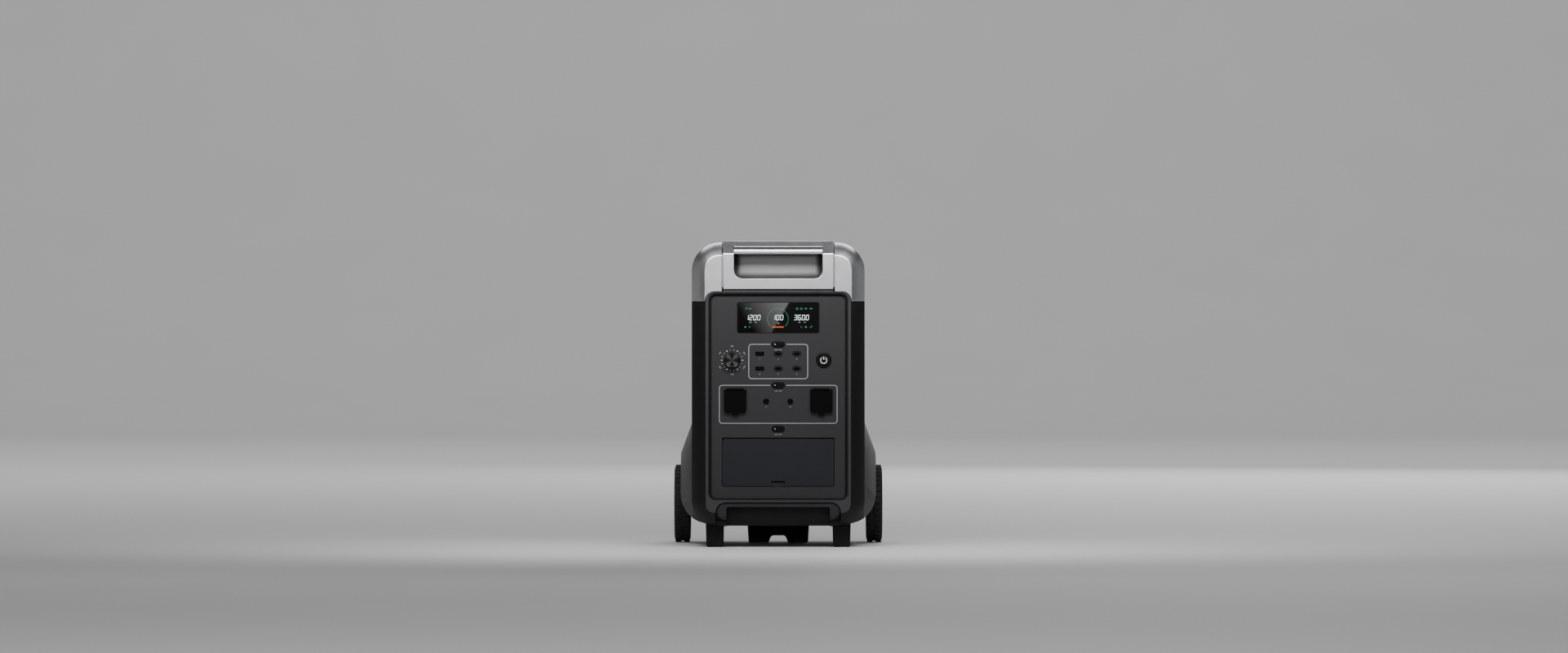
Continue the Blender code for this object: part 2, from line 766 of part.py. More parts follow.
def bezel_outline(gap=0.0):
    """The bezel's outer edge: rounded at the top, with two ears that hang down outside the base arch."""
    half = BEZEL_HALF_WIDTH + gap
    arch = ARCH_WIDTH / 2 + CLEARANCE - gap
    corner = ARCH_CORNER_RADIUS + CLEARANCE
    top = ARCH_TOP + CLEARANCE - gap
    low = BEZEL_EAR_BOTTOM - gap
    ear = min(BEZEL_EAR_RADIUS, 0.9 * (half - arch), 0.9 * (top - low))
    return outline(
        [
            (-half, low, ear),
            (-arch, low, 0),
            (-arch, top, corner),
            (arch, top, corner),
            (arch, low, 0),
            (half, low, ear),
            (half, BEZEL_TOP + gap, BEZEL_CORNER_RADIUS),
            (-half, BEZEL_TOP + gap, BEZEL_CORNER_RADIUS),
        ]
    )


def arch_outline(gap=0.0, legs=0.0):
    """An inverted U. The gap grows it for the recess that it sits in."""
    half, top, end = ARCH_WIDTH / 2 + gap, ARCH_TOP + gap, ARCH_TOP - ARCH_DROP - legs
    inner = ARCH_WIDTH / 2 - ARCH_LEG
    return outline(
        [
            (-half, end, 0),
            (-inner, end, 0),
            (-inner, NOTCH_TOP, NOTCH_CORNER_RADIUS),
            (inner, NOTCH_TOP, NOTCH_CORNER_RADIUS),
            (inner, end, 0),
            (half, end, 0),
            (half, top, ARCH_CORNER_RADIUS),
            (-half, top, ARCH_CORNER_RADIUS),
        ]
    )


def housing_profile(inset, soft):
    """The handle housing from the side, with its top front edge sloped like the shoulders."""
    front, rear = FRONT_Y + inset, FRONT_Y + HOUSING_DEPTH - inset
    top, bottom = HOUSING_TOP - inset, HOUSING_BOTTOM + inset
    slope = FRONT_CHAMFER
    return outline(
        [
            (front, bottom, 0),
            (rear, bottom, 0),
            (rear, top, soft),
            (front + slope, top, soft),
            (front, top - slope, soft),
        ]
    )


def build_shells():
    big = BODY_DEPTH + BODY_WIDTH
    opening_rear = FRONT_Y + BEZEL_DEPTH + CLEARANCE
    opening = prism("front_opening", [bezel_outline(CLEARANCE)], "Y", FRONT_Y - OVERSHOOT, opening_rear)

    upper = envelope("upper_shell")
    upper.data.materials.append(silver_plastic())
    below = box("below_split", (-big, -big, 0), (big, big, SPLIT_Z + CLEARANCE / 2))
    half = HOUSING_WIDTH / 2 + HOUSING_GROOVE + CLEARANCE
    rear = FRONT_Y + HOUSING_DEPTH + CLEARANCE
    bay_low = (-half, FRONT_Y - OVERSHOOT, BEZEL_TOP - WALL)
    bay = box("housing_bay", bay_low, (half, rear, HOUSING_TOP + OVERSHOOT))
    cut(upper, envelope("upper_cavity", WALL), below, opening, bay)

    lower = envelope("lower_shell")
    lower.data.materials.append(black_plastic())
    above = box("above_split", (-big, -big, SPLIT_Z - CLEARANCE / 2), (big, big, SHOULDER_TOP + OVERSHOOT))
    cavity = envelope("lower_cavity", WALL)
    beam_rear = FRONT_Y + NOTCH_DEPTH + WALL
    beam = box("base_beam", (-big, FRONT_Y - OVERSHOOT, 0), (big, beam_rear, BEAM_TOP))
    cut(cavity, beam)
    inner = ARCH_WIDTH / 2 - ARCH_LEG
    notch_points = rectangle(-inner, 0, inner, NOTCH_TOP, 0.0, NOTCH_CORNER_RADIUS)
    notch = prism("hand_notch", [notch_points], "Y", FRONT_Y - 2 * OVERSHOOT, FRONT_Y + NOTCH_DEPTH)
    recess_rear = FRONT_Y + ARCH_DEPTH + CLEARANCE
    arch_seat = arch_outline(CLEARANCE, ARCH_DROP)
    recess = prism("arch_recess", [arch_seat], "Y", FRONT_Y - 2 * OVERSHOOT, recess_rear)
    cover_seat = rear_cover_outline(CLEARANCE)
    cover = prism("rear_opening", [cover_seat], "Y", REAR_Y - 2 * WALL, REAR_Y + OVERSHOOT)
    vents = prism("side_vents", [grille_outline(CLEARANCE)], "X", -big, big)
    axle_hole = cylinder("axle_hole", "X", AXLE_Y, WHEEL_RADIUS, AXLE_RADIUS + CLEARANCE, -big, big, 20)
    cut(lower, cavity, above, opening, notch, recess, cover, vents, axle_hole)


def grille_outline(gap=0.0):
    return centred(FAN_Y, FAN_Z, GRILLE_SIZE + 2 * gap, GRILLE_SIZE + 2 * gap, GRILLE_CORNER_RADIUS + gap)


def rear_cover_outline(gap=0.0):
    bottom = GROUND_CLEARANCE + REAR_COVER_SILL
    half = REAR_COVER_WIDTH / 2 + gap
    top = SPLIT_Z - REAR_COVER_HEAD
    return rectangle(-half, bottom - gap, half, top + gap, REAR_CORNER_RADIUS + gap)


def build_rear():
    bottom = GROUND_CLEARANCE + REAR_COVER_SILL
    holes = []
    for i in range(REAR_SLOT_COUNT):
        z = bottom + REAR_SLOT_SILL + i * REAR_SLOT_PITCH
        for side in (-1, 1):
            x = side * REAR_SLOT_SPACING / 2
            holes.append(pill(x, z, REAR_SLOT_LENGTH, REAR_SLOT_HEIGHT))
    inlet_z = bottom + INLET_RISE
    for side in (-1, 1):
        x = side * INLET_SPACING / 2
        hole_width = INLET_WIDTH + 2 * CLEARANCE
        hole_height = INLET_HEIGHT + 2 * CLEARANCE
        holes.append(centred(x, inlet_z, hole_width, hole_height, INLET_CORNER_RADIUS))
    front = REAR_Y - REAR_COVER_THICKNESS
    prism("rear_cover", [rear_cover_outline()] + holes, "Y", front, REAR_Y, black_plastic())
    for side, name in ((-1, "ac_inlet"), (1, "solar_inlet")):
        x = side * INLET_SPACING / 2
        shell = centred(x, inlet_z, INLET_WIDTH, INLET_HEIGHT, INLET_CORNER_RADIUS)
        inlet = prism(name, [shell], "Y", REAR_Y - INLET_DEPTH, REAR_Y, gloss_black())
        flange_width = INLET_WIDTH + 2 * INLET_FLANGE
        flange_height = INLET_HEIGHT + 2 * INLET_FLANGE
        flange = centred(x, inlet_z, flange_width, flange_height, INLET_FLANGE_RADIUS)
        rim = prism(name + "_flange", [flange], "Y", front - CLEARANCE - INLET_WALL, front - CLEARANCE)
        well_width = INLET_WIDTH - 2 * INLET_WALL
        well_height = INLET_HEIGHT - 2 * INLET_WALL
        well = centred(x, inlet_z, well_width, well_height, INLET_WELL_RADIUS)
        cavity = prism(name + "_cavity", [well], "Y", REAR_Y - INLET_CAVITY_DEPTH, REAR_Y + OVERSHOOT)
        join(inlet, rim)
        cut(inlet, cavity)


# Control panel


def build_bezel():
    front, rear = FRONT_Y - BEZEL_PROUD, FRONT_Y + BEZEL_DEPTH
    window = panel_outline(CLEARANCE)
    bezel = prism("front_bezel", [bezel_outline(), window], "Y", front, rear, panel_plastic())
    round_edges(bezel, BEZEL_EDGE_ROUND, 2, at_y(front))
    half = HOUSING_WIDTH / 2 - CLEARANCE
    top = HOUSING_BOTTOM - CLEARANCE
    tongue = box("bezel_tongue", (-half, PANEL_Y, BEZEL_TOP - 2 * EMBED), (half, rear - EMBED, top))
    join(bezel, tongue)


def panel_outline(gap=0.0):
    half = PANEL_HALF_WIDTH + gap - CLEARANCE
    low, high = PANEL_BOTTOM - gap + CLEARANCE, PANEL_TOP + gap - CLEARANCE
    return rectangle(-half, low, half, high, PANEL_CORNER_RADIUS + gap)


def usb_places():
    """The middle of each USB port, the outer ones at the left being the larger kind."""
    return [(column * USB_PITCH_X, z, column < 0) for column in (-1, 0, 1) for z in USB_ROWS]


def switch_places():
    return (("usb_switch", USB_FRAME_TOP), ("dc_switch", DC_FRAME_TOP), ("ac_switch", AC_SWITCH_Z))


def build_panel():
    gap = 2 * CLEARANCE
    holes = [
        centred(0, DISPLAY_Z, DISPLAY_WIDTH, DISPLAY_HEIGHT, DISPLAY_CORNER_RADIUS),
        circle(DIAL_X, DIAL_Z, DIAL_SHAFT_RADIUS + RUNNING_GAP, 16),
        circle(POWER_X, DIAL_Z, POWER_RADIUS + RUNNING_GAP, 32),
    ]
    for _, z in switch_places():
        holes.append(pill(0, z, PILL_WIDTH + 2 * RUNNING_GAP, PILL_HEIGHT + 2 * RUNNING_GAP))
    for side in (-1, 1):
        holes.append(circle(side * JACK_PITCH / 2, JACK_Z, JACK_RADIUS + CLEARANCE, 20))
        holes.append(circle(side * FLAP_X, SOCKET_Z, socket_radius() + CLEARANCE))
    half = DOOR_WIDTH / 2
    holes.append(rectangle(-half, DOOR_BOTTOM, half, DOOR_TOP, DOOR_CORNER_RADIUS, DOOR_TOP_RADIUS))
    panel = prism("front_panel", [panel_outline()] + holes, "Y", PANEL_Y, PANEL_BACK_Y, panel_plastic())
    reach = half + DOOR_PIN_REACH
    _, pin_y, pin_z = door_axis()
    pin_hole = cylinder("door_pin_hole", "X", pin_y, pin_z, pin_hole_radius(), -reach, reach, 12)
    cut(panel, pin_hole)
    for i, (x, z, large) in enumerate(usb_places()):
        width, height = (USB_A_WIDTH, USB_A_HEIGHT) if large else usb_c_shell()
        radius = USB_A_RADIUS if large else height / 2 + CLEARANCE
        opening = centred(x, z, width + gap, height + gap, radius)
        cut(panel, prism(f"port_opening_{i}", [opening], "Y", PANEL_Y - OVERSHOOT, PANEL_BACK_Y + OVERSHOOT))


def usb_c_shell():
    return USB_C_WIDTH + 2 * USB_SHELL, USB_C_HEIGHT + 2 * USB_SHELL


def socket_radius():
    return SOCKET_BORE_RADIUS + SOCKET_WALL


def pin_hole_radius():
    return PIN_RADIUS + CLEARANCE


def build_display():
    wide, high = DISPLAY_WIDTH - 2 * CLEARANCE, DISPLAY_HEIGHT - 2 * CLEARANCE
    radius = DISPLAY_CORNER_RADIUS - CLEARANCE
    front = PANEL_Y + LENS_INSET
    lens_points = centred(0, DISPLAY_Z, wide, high, radius)
    prism("display_lens", [lens_points], "Y", front, front + LENS_THICKNESS, dark_glass())
    rim = 2 * DISPLAY_RIM
    module_points = centred(0, DISPLAY_Z, DISPLAY_WIDTH + rim, DISPLAY_HEIGHT + rim, radius)
    start = PANEL_BACK_Y + CLEARANCE
    module = prism("display_module", [module_points], "Y", start, start + DISPLAY_MODULE_DEPTH, black_plastic())
    screen_front = front + LENS_THICKNESS + CLEARANCE
    join(module, prism("display_screen", [lens_points], "Y", screen_front, start + DISPLAY_MODULE_DEPTH / 2))


def build_usb():
    front = PANEL_Y + CLEARANCE
    back = front + USB_PORT_DEPTH + USB_BOARD_GAP
    width = 2 * USB_PITCH_X + USB_A_WIDTH + USB_BOARD_MARGIN
    height = USB_PITCH_Z + USB_A_HEIGHT + USB_BOARD_MARGIN
    middle = (USB_ROWS[0] + USB_ROWS[1]) / 2
    board_points = centred(0, middle, width, height, BOARD_CORNER_RADIUS)
    board = prism("usb_board", [board_points], "Y", back, back + USB_BOARD_THICKNESS)
    board.data.materials.append(circuit_board())
    for i, (x, z, large) in enumerate(usb_places()):
        outer = (USB_A_WIDTH, USB_A_HEIGHT) if large else usb_c_shell()
        radius = USB_A_RADIUS if large else outer[1] / 2
        shell = prism(f"port_{i}", [centred(x, z, *outer, radius)], "Y", front, back + EMBED / 2)
        wide, high = outer[0] - 2 * USB_SHELL, outer[1] - 2 * USB_SHELL
        well_radius = USB_A_RADIUS / 2 if large else high / 2
        well_points = centred(x, z, wide, high, well_radius)
        well = prism(f"port_well_{i}", [well_points], "Y", front - OVERSHOOT, front + USB_PORT_DEPTH)
        tongue_height = USB_TONGUE if large else USB_C_TONGUE
        tongue_z = z + (USB_TONGUE_RISE if large else 0)
        tongue_points = centred(x, tongue_z, wide - 2 * USB_TONGUE_MARGIN, tongue_height)
        tongue = prism(f"port_tongue_{i}", [tongue_points], "Y", front + EMBED, front + USB_PORT_DEPTH + EMBED)
        cut(shell, well)
        join(shell, tongue)
        join(board, shell)


def build_controls():
    axis = (DIAL_X, 0, DIAL_Z)
    face = PANEL_Y - CLEARANCE
    top = face - KNOB_HEIGHT
    edge = KNOB_RADIUS - KNOB_DRAFT
    bore = DIAL_SHAFT_RADIUS + CLEARANCE
    knob_profile = [
        (0, top + KNOB_DISH),
        (edge - KNOB_LIP, top + KNOB_DISH),
        (edge - 1.5 * KNOB_EDGE_ROUND, top),
        (edge, top + KNOB_EDGE_ROUND),
        (KNOB_RADIUS, face - EMBED),
        (KNOB_RADIUS, face),
        (bore, face),
        (bore, top + KNOB_ROOF),
        (0, top + KNOB_ROOF),
    ]
    knob = turned("dial_knob", knob_profile, "Y", axis[0], axis[2], 24, gloss_black())
    set_origin(knob, (axis[0], face, axis[2]))
    back = PANEL_BACK_Y + CLEARANCE
    switch = cylinder("dial_switch", "Y", axis[0], axis[2], DIAL_BODY_RADIUS, back, back + DIAL_BODY_DEPTH, 20)
    switch.data.materials.append(brushed_steel())
    shaft_top = top + KNOB_ROOF + CLEARANCE
    shaft_end = back + 2 * EMBED
    shaft = cylinder("dial_shaft", "Y", axis[0], axis[2], DIAL_SHAFT_RADIUS, shaft_top, shaft_end, 16)
    join(switch, shaft)

    button_face = PANEL_Y - POWER_PROUD
    button = cylinder("power_button", "Y", POWER_X, DIAL_Z, POWER_RADIUS, button_face, back + EMBED, 32)
    button.data.materials.append(gloss_black())
    round_edges(button, POWER_EDGE_ROUND, 2, at_y(button_face))
    keep = back + BUTTON_FLANGE_THICKNESS
    flange = cylinder("power_flange", "Y", POWER_X, DIAL_Z, POWER_RADIUS + BUTTON_FLANGE, back, keep, 32)
    set_origin(join(button, flange), (POWER_X, PANEL_Y, DIAL_Z))

    for name, z in switch_places():
        face = PANEL_Y - PILL_PROUD
        key = prism(name, [pill(0, z, PILL_WIDTH, PILL_HEIGHT)], "Y", face, back + EMBED, gloss_black())
        round_edges(key, PILL_EDGE_ROUND, 2, at_y(face))
        rim_points = pill(0, z, PILL_WIDTH + 2 * BUTTON_FLANGE, PILL_HEIGHT + 2 * BUTTON_FLANGE)
        rim = prism(name + "_flange", [rim_points], "Y", back, keep)
        set_origin(join(key, rim), (0, PANEL_Y, z))


def flap_axis(side):
    y = PANEL_Y - FLANGE_THICKNESS - 2 * CLEARANCE - KNUCKLE_RADIUS
    return side * FLAP_X, y, FLAP_TOP - KNUCKLE_RADIUS


def build_dc_sockets():
    flange_front = PANEL_Y - FLANGE_THICKNESS
    for side in (-1, 1):
        x, axis_y, axis_z = flap_axis(side)
        left, right = x - FLAP_WIDTH / 2, x + FLAP_WIDTH / 2
        bottom = FLAP_TOP - FLAP_HEIGHT
        socket_name = mirrored_name("car_socket", side)
        flange_points = rectangle(left, bottom, right, FLAP_TOP, FLAP_CORNER_RADIUS)
        socket = prism(socket_name, [flange_points], "Y", flange_front, PANEL_Y - CLEARANCE, black_plastic())
        barrel_end = PANEL_Y + SOCKET_DEPTH
        radius = socket_radius()
        barrel_start = flange_front + EMBED / 2
        barrel = cylinder(socket_name + "_barrel", "Y", x, SOCKET_Z, radius, barrel_start, barrel_end)
        bore_end = barrel_end - SOCKET_WALL
        bore_start = flange_front - 2 * OVERSHOOT
        bore = cylinder(socket_name + "_bore", "Y", x, SOCKET_Z, SOCKET_BORE_RADIUS, bore_start, bore_end)
        join(socket, barrel)
        ear_top = axis_z + KNUCKLE_RADIUS
        ear_front = axis_y - KNUCKLE_RADIUS
        ear_low = axis_z - KNUCKLE_RADIUS
        ear_points = rectangle(ear_front, ear_low, flange_front + EMBED, ear_top, HINGE_EAR_ROUND)
        for end in (left, right - HINGE_EAR_WIDTH):
            ear = prism(socket_name + f"_ear_{end:.4f}", [ear_points], "X", end, end + HINGE_EAR_WIDTH)
            join(socket, ear)
        hole_reach = FLAP_WIDTH / 2 - PIN_COVER
        hole_ends = (x - hole_reach, x + hole_reach)
        hole = cylinder(socket_name + "_pin_hole", "X", axis_y, axis_z, pin_hole_radius(), *hole_ends, 12)
        cut(socket, bore, hole)

        flap_name = mirrored_name("socket_flap", side)
        back = flange_front - CLEARANCE
        front = back - FLAP_THICKNESS
        tab = FLAP_TAB_WIDTH / 2
        low = bottom - FLAP_TAB_HEIGHT
        inner_left = left + HINGE_EAR_WIDTH + RUNNING_GAP
        inner_right = right - HINGE_EAR_WIDTH - RUNNING_GAP
        shoulder = axis_z - KNUCKLE_RADIUS - RUNNING_GAP
        plate_points = outline(
            [
                (left, bottom, FLAP_CORNER_RADIUS),
                (x - tab, bottom, FLAP_TAB_FILLET),
                (x - tab, low, FLAP_TAB_RADIUS),
                (x + tab, low, FLAP_TAB_RADIUS),
                (x + tab, bottom, FLAP_TAB_FILLET),
                (right, bottom, FLAP_CORNER_RADIUS),
                (right, shoulder, FLAP_SHOULDER_RADIUS),
                (inner_right, shoulder, 0),
                (inner_right, axis_z + KNUCKLE_RADIUS / 3, 0),
                (inner_left, axis_z + KNUCKLE_RADIUS / 3, 0),
                (inner_left, shoulder, 0),
                (left, shoulder, FLAP_SHOULDER_RADIUS),
            ]
        )
        flap = prism(flap_name, [plate_points], "Y", front, back, black_rubber())
        roll = (inner_left + CLEARANCE, inner_right - CLEARANCE)
        knuckle = cylinder(flap_name + "_knuckle", "X", axis_y, axis_z, KNUCKLE_RADIUS, *roll, 16)
        pin_reach = hole_reach - CLEARANCE
        pin = cylinder(flap_name + "_pin", "X", axis_y, axis_z, PIN_RADIUS, x - pin_reach, x + pin_reach, 12)
        set_origin(join(flap, knuckle, pin), (x, axis_y, axis_z))


def build_dc_jacks():
    """Two barrel jacks soldered to one small board behind the panel."""
    front = PANEL_Y - JACK_PROUD
    end = front + JACK_DEPTH
    width = JACK_PITCH + 2 * JACK_RADIUS + DC_BOARD_MARGIN
    height = 2 * JACK_RADIUS + DC_BOARD_MARGIN
    board_points = centred(0, JACK_Z, width, height, BOARD_CORNER_RADIUS)
    board = prism("dc_board", [board_points], "Y", end, end + USB_BOARD_THICKNESS, circuit_board())
    for side in (-1, 1):
        x = side * JACK_PITCH / 2
        name = mirrored_name("dc_jack", side)
        jack = cylinder(name, "Y", x, JACK_Z, JACK_RADIUS, front, end + USB_BOARD_THICKNESS / 2, 20)
        well_end = end - JACK_FLOOR
        well = cylinder(name + "_well", "Y", x, JACK_Z, JACK_BORE_RADIUS, front - OVERSHOOT, well_end, 16)
        contact_ends = (front + EMBED, well_end + EMBED)
        contact = cylinder(name + "_contact", "Y", x, JACK_Z, JACK_PIN_RADIUS, *contact_ends, 10)
        cut(jack, well)
        join(jack, contact)
        join(board, jack)


# AC outlets


def door_axis():
    """The door's hinge pin runs along its upper edge, inside the panel's thickness."""
    return 0.0, PANEL_Y + DOOR_KNUCKLE_RADIUS + CLEARANCE / 2, DOOR_TOP - DOOR_TOP_GAP - DOOR_KNUCKLE_RADIUS


def build_ac_bay():
    _, axis_y, axis_z = door_axis()
    half = DOOR_WIDTH / 2 - DOOR_GAP
    bottom = DOOR_BOTTOM + DOOR_GAP
    latch_half = LATCH_WIDTH / 2
    notch_half = latch_half + CLEARANCE
    notch_top = bottom + LATCH_HEIGHT + LATCH_TRAVEL + RUNNING_GAP
    door_points = outline(
        [
            (-half, bottom, DOOR_CORNER_RADIUS),
            (-notch_half, bottom, 0),
            (-notch_half, notch_top, LATCH_NOTCH_RADIUS),
            (notch_half, notch_top, LATCH_NOTCH_RADIUS),
            (notch_half, bottom, 0),
            (half, bottom, DOOR_CORNER_RADIUS),
            (half, axis_z + DOOR_KNUCKLE_RADIUS / 3, 0),
            (-half, axis_z + DOOR_KNUCKLE_RADIUS / 3, 0),
        ]
    )
    door = prism("ac_door", [door_points], "Y", PANEL_Y, PANEL_Y + DOOR_THICKNESS, panel_plastic())
    roll = half - CLEARANCE
    knuckle = cylinder("ac_door_knuckle", "X", axis_y, axis_z, DOOR_KNUCKLE_RADIUS, -roll, roll, 16)
    pin_reach = DOOR_WIDTH / 2 + DOOR_PIN_REACH - CLEARANCE
    pin = cylinder("ac_door_pin", "X", axis_y, axis_z, PIN_RADIUS, -pin_reach, pin_reach, 12)
    set_origin(join(door, knuckle, pin), (0, axis_y, axis_z))

    latch_points = rectangle(-latch_half, bottom, latch_half, bottom + LATCH_HEIGHT, LATCH_CORNER_RADIUS)
    back = PANEL_Y + DOOR_THICKNESS + CLEARANCE
    latch = prism("door_latch", [latch_points], "Y", PANEL_Y + LATCH_INSET, back + EMBED, panel_plastic())
    wide = latch_half + LATCH_FLANGE
    flange_points = rectangle(-wide, bottom, wide, bottom + LATCH_HEIGHT, LATCH_CORNER_RADIUS)
    flange = prism("door_latch_flange", [flange_points], "Y", back, back + LATCH_FLANGE_THICKNESS)
    set_origin(join(latch, flange), (0, PANEL_Y, bottom))

    front = PANEL_BACK_Y + CLEARANCE
    rear = front + TRAY_DEPTH
    out = TRAY_WALL
    lip = DOOR_WIDTH / 2 + 2 * out
    mouth = DOOR_WIDTH / 2
    tray_shell = rectangle(-mouth - out, DOOR_BOTTOM - out, mouth + out, DOOR_TOP + out, DOOR_CORNER_RADIUS)
    tray = prism("outlet_tray", [tray_shell], "Y", front, rear + TRAY_WALL, black_plastic())
    rim = rectangle(-lip - out, DOOR_BOTTOM - 3 * out, lip + out, DOOR_TOP + 3 * out, DOOR_CORNER_RADIUS)
    join(tray, prism("outlet_tray_rim", [rim], "Y", front, front + TRAY_WALL))
    well_points = rectangle(-mouth, DOOR_BOTTOM, mouth, DOOR_TOP, DOOR_CORNER_RADIUS, TRAY_TOP_RADIUS)
    cut(tray, prism("outlet_tray_well", [well_points], "Y", front - OVERSHOOT, rear))
    outlet_z = (DOOR_BOTTOM + DOOR_TOP) / 2
    body_width = OUTLET_PITCH + OUTLET_FACE - 2 * OUTLET_LAND
    body_height = OUTLET_FACE - 2 * OUTLET_LAND
    for side in (-1, 1):
        name = mirrored_name("outlet_pair", side)
        x = side * OUTLET_PITCH
        face = rear - CLEARANCE - OUTLET_HEIGHT
        plate_points = centred(x, outlet_z, OUTLET_PITCH + OUTLET_FACE, OUTLET_FACE, OUTLET_CORNER_RADIUS)
        outlet = prism(name, [plate_points], "Y", face, rear - CLEARANCE, black_plastic())
        round_edges(outlet, OUTLET_EDGE_ROUND, 2, at_y(face))
        body_end = rear + TRAY_WALL + OUTLET_BODY_DEPTH
        body_points = centred(x, outlet_z, body_width, body_height, OUTLET_BODY_RADIUS)
        join(outlet, prism(name + "_body", [body_points], "Y", rear - 2 * EMBED, body_end))
        hole_size = (body_width + 2 * CLEARANCE, body_height + 2 * CLEARANCE)
        hole_points = centred(x, outlet_z, *hole_size, OUTLET_BODY_RADIUS)
        cut(tray, prism(name + "_hole", [hole_points], "Y", rear - OVERSHOOT, rear + OVERSHOOT))
        for place in (-1, 1):
            cut(outlet, *outlet_slots(f"{name}_{place}", x + place * OUTLET_PITCH / 2, outlet_z, face))


def outlet_slots(name, x, z, face):
    """Two blade slots and an earth hole."""
    end = face + OUTLET_SLOT_DEPTH
    shapes = (
        centred(x - BLADE_SPACING / 2, z + BLADE_RISE, BLADE_WIDTH, NEUTRAL_SLOT_HEIGHT),
        centred(x + BLADE_SPACING / 2, z + BLADE_RISE, BLADE_WIDTH, LIVE_SLOT_HEIGHT),
        circle(x, z - EARTH_DROP, EARTH_RADIUS, 12),
    )
    return [prism(f"{name}_slot_{i}", [shape], "Y", face - OVERSHOOT, end) for i, shape in enumerate(shapes)]


# Pull handle


def build_handle_housing():
    half = HOUSING_WIDTH / 2
    profile = housing_profile(0, HOUSING_EDGE_ROUND)
    housing = prism("handle_housing", [profile], "X", -half, half, silver_plastic())
    wide = half + HOUSING_GROOVE
    flange = prism("housing_flange", [housing_profile(GROOVE_DEPTH, 0)], "X", -wide, wide)
    pocket_half = POCKET_WIDTH / 2
    pocket_rear = FRONT_Y + POCKET_DEPTH
    pocket_top = HOUSING_TOP + POCKET_DEPTH
    pocket_points = rectangle(-pocket_half, POCKET_BOTTOM, pocket_half, pocket_top, POCKET_CORNER_RADIUS, 0.0)
    pocket = prism("finger_pocket", [pocket_points], "Y", FRONT_Y - OVERSHOOT, pocket_rear)
    round_edges(pocket, POCKET_DRAFT, 3, at_y(pocket_rear))
    slot_low = (-pocket_half, FRONT_Y - OVERSHOOT, GRIP_BOTTOM - CLEARANCE)
    slot = box("grip_slot", slot_low, (pocket_half, FRONT_Y + GRIP_DEPTH + CLEARANCE, HOUSING_TOP + OVERSHOOT))
    cavity_low = (-half + WALL, pocket_rear + WALL, HOUSING_BOTTOM - OVERSHOOT)
    cavity_high = (half - WALL, FRONT_Y + HOUSING_DEPTH - WALL, GRIP_BOTTOM - HOUSING_FLOOR)
    cavity = box("housing_cavity", cavity_low, cavity_high)
    join(housing, flange)
    cut(housing, pocket, slot, cavity)
    for side in (-1, 1):
        name = mirrored_name("rod_hole", side)
        radius = tube_radius(1) + RUNNING_GAP
        ends = (GRIP_BOTTOM - 2 * OVERSHOOT, GRIP_BOTTOM + OVERSHOOT)
        cut(housing, cylinder(name, "Z", side * ROD_X, ROD_Y, radius, *ends, 20))


def tube_radius(stage):
    """Outer radius of the fixed tube (0), the middle tube (1) and the inner tube (2)."""
    return ROD_RADIUS - stage * (TUBE_WALL + TUBE_GAP)


def build_handle():
    half = POCKET_WIDTH / 2 - CLEARANCE
    bar_top = GRIP_BOTTOM + BAR_HEIGHT
    bar_rear = FRONT_Y + BAR_DEPTH
    bar_points = rectangle(FRONT_Y + BAR_INSET, GRIP_BOTTOM, bar_rear, bar_top, BAR_ROUND)
    bar = prism("grip_bar", [bar_points], "X", -half, half, polished_aluminium())
    rear = FRONT_Y + GRIP_DEPTH
    cover_bottom = bar_top + GRIP_SEAM
    core_top = cover_bottom - CLEARANCE
    seam_y = FRONT_Y + SEAM_SETBACK
    core_points = outline(
        [
            (bar_rear + CLEARANCE, GRIP_BOTTOM + CORE_RISE, 0),
            (rear, GRIP_BOTTOM + CORE_RISE, CORE_EDGE_ROUND),
            (rear, core_top, 0),
            (seam_y, core_top, 0),
            (seam_y, bar_top + CLEARANCE, 0),
            (bar_rear + CLEARANCE, bar_top + CLEARANCE, 0),
        ]
    )
    core = prism("grip_core", [core_points], "X", -half, half, black_plastic())
    slope_start = HOUSING_TOP - FRONT_CHAMFER
    cover_points = outline(
        [
            (FRONT_Y + cover_bottom - slope_start, cover_bottom, COVER_LIP_ROUND),
            (rear, cover_bottom, 0),
            (rear, HOUSING_TOP, COVER_REAR_ROUND),
            (FRONT_Y + FRONT_CHAMFER, HOUSING_TOP, HOUSING_EDGE_ROUND),
        ]
    )
    cover = prism("grip_cover", [cover_points], "X", -half, half, silver_plastic())
    top = GRIP_BOTTOM + CORE_RISE - CLEARANCE
    foot = top - HANDLE_TRAVEL - TUBE_OVERLAP
    for side in (-1, 1):
        x = side * ROD_X
        tubes = (
            ("outer_tube", 0, foot, GRIP_BOTTOM - HOUSING_FLOOR - CLEARANCE),
            ("middle_tube", 1, foot + TUBE_STEP, top - CLEARANCE),
            ("inner_tube", 2, foot + 2 * TUBE_STEP, top),
        )
        for base, stage, low, high in tubes:
            outer = circle(x, ROD_Y, tube_radius(stage), 20)
            inner = circle(x, ROD_Y, tube_radius(stage) - TUBE_WALL, 20)
            tube = prism(mirrored_name(base, side), [outer, inner], "Z", low, high, brushed_steel())
            set_origin(tube, (x, ROD_Y, high))
    for piece in (bar, core, cover):
        set_origin(piece, (0, ROD_Y, GRIP_BOTTOM))


# Base and wheels


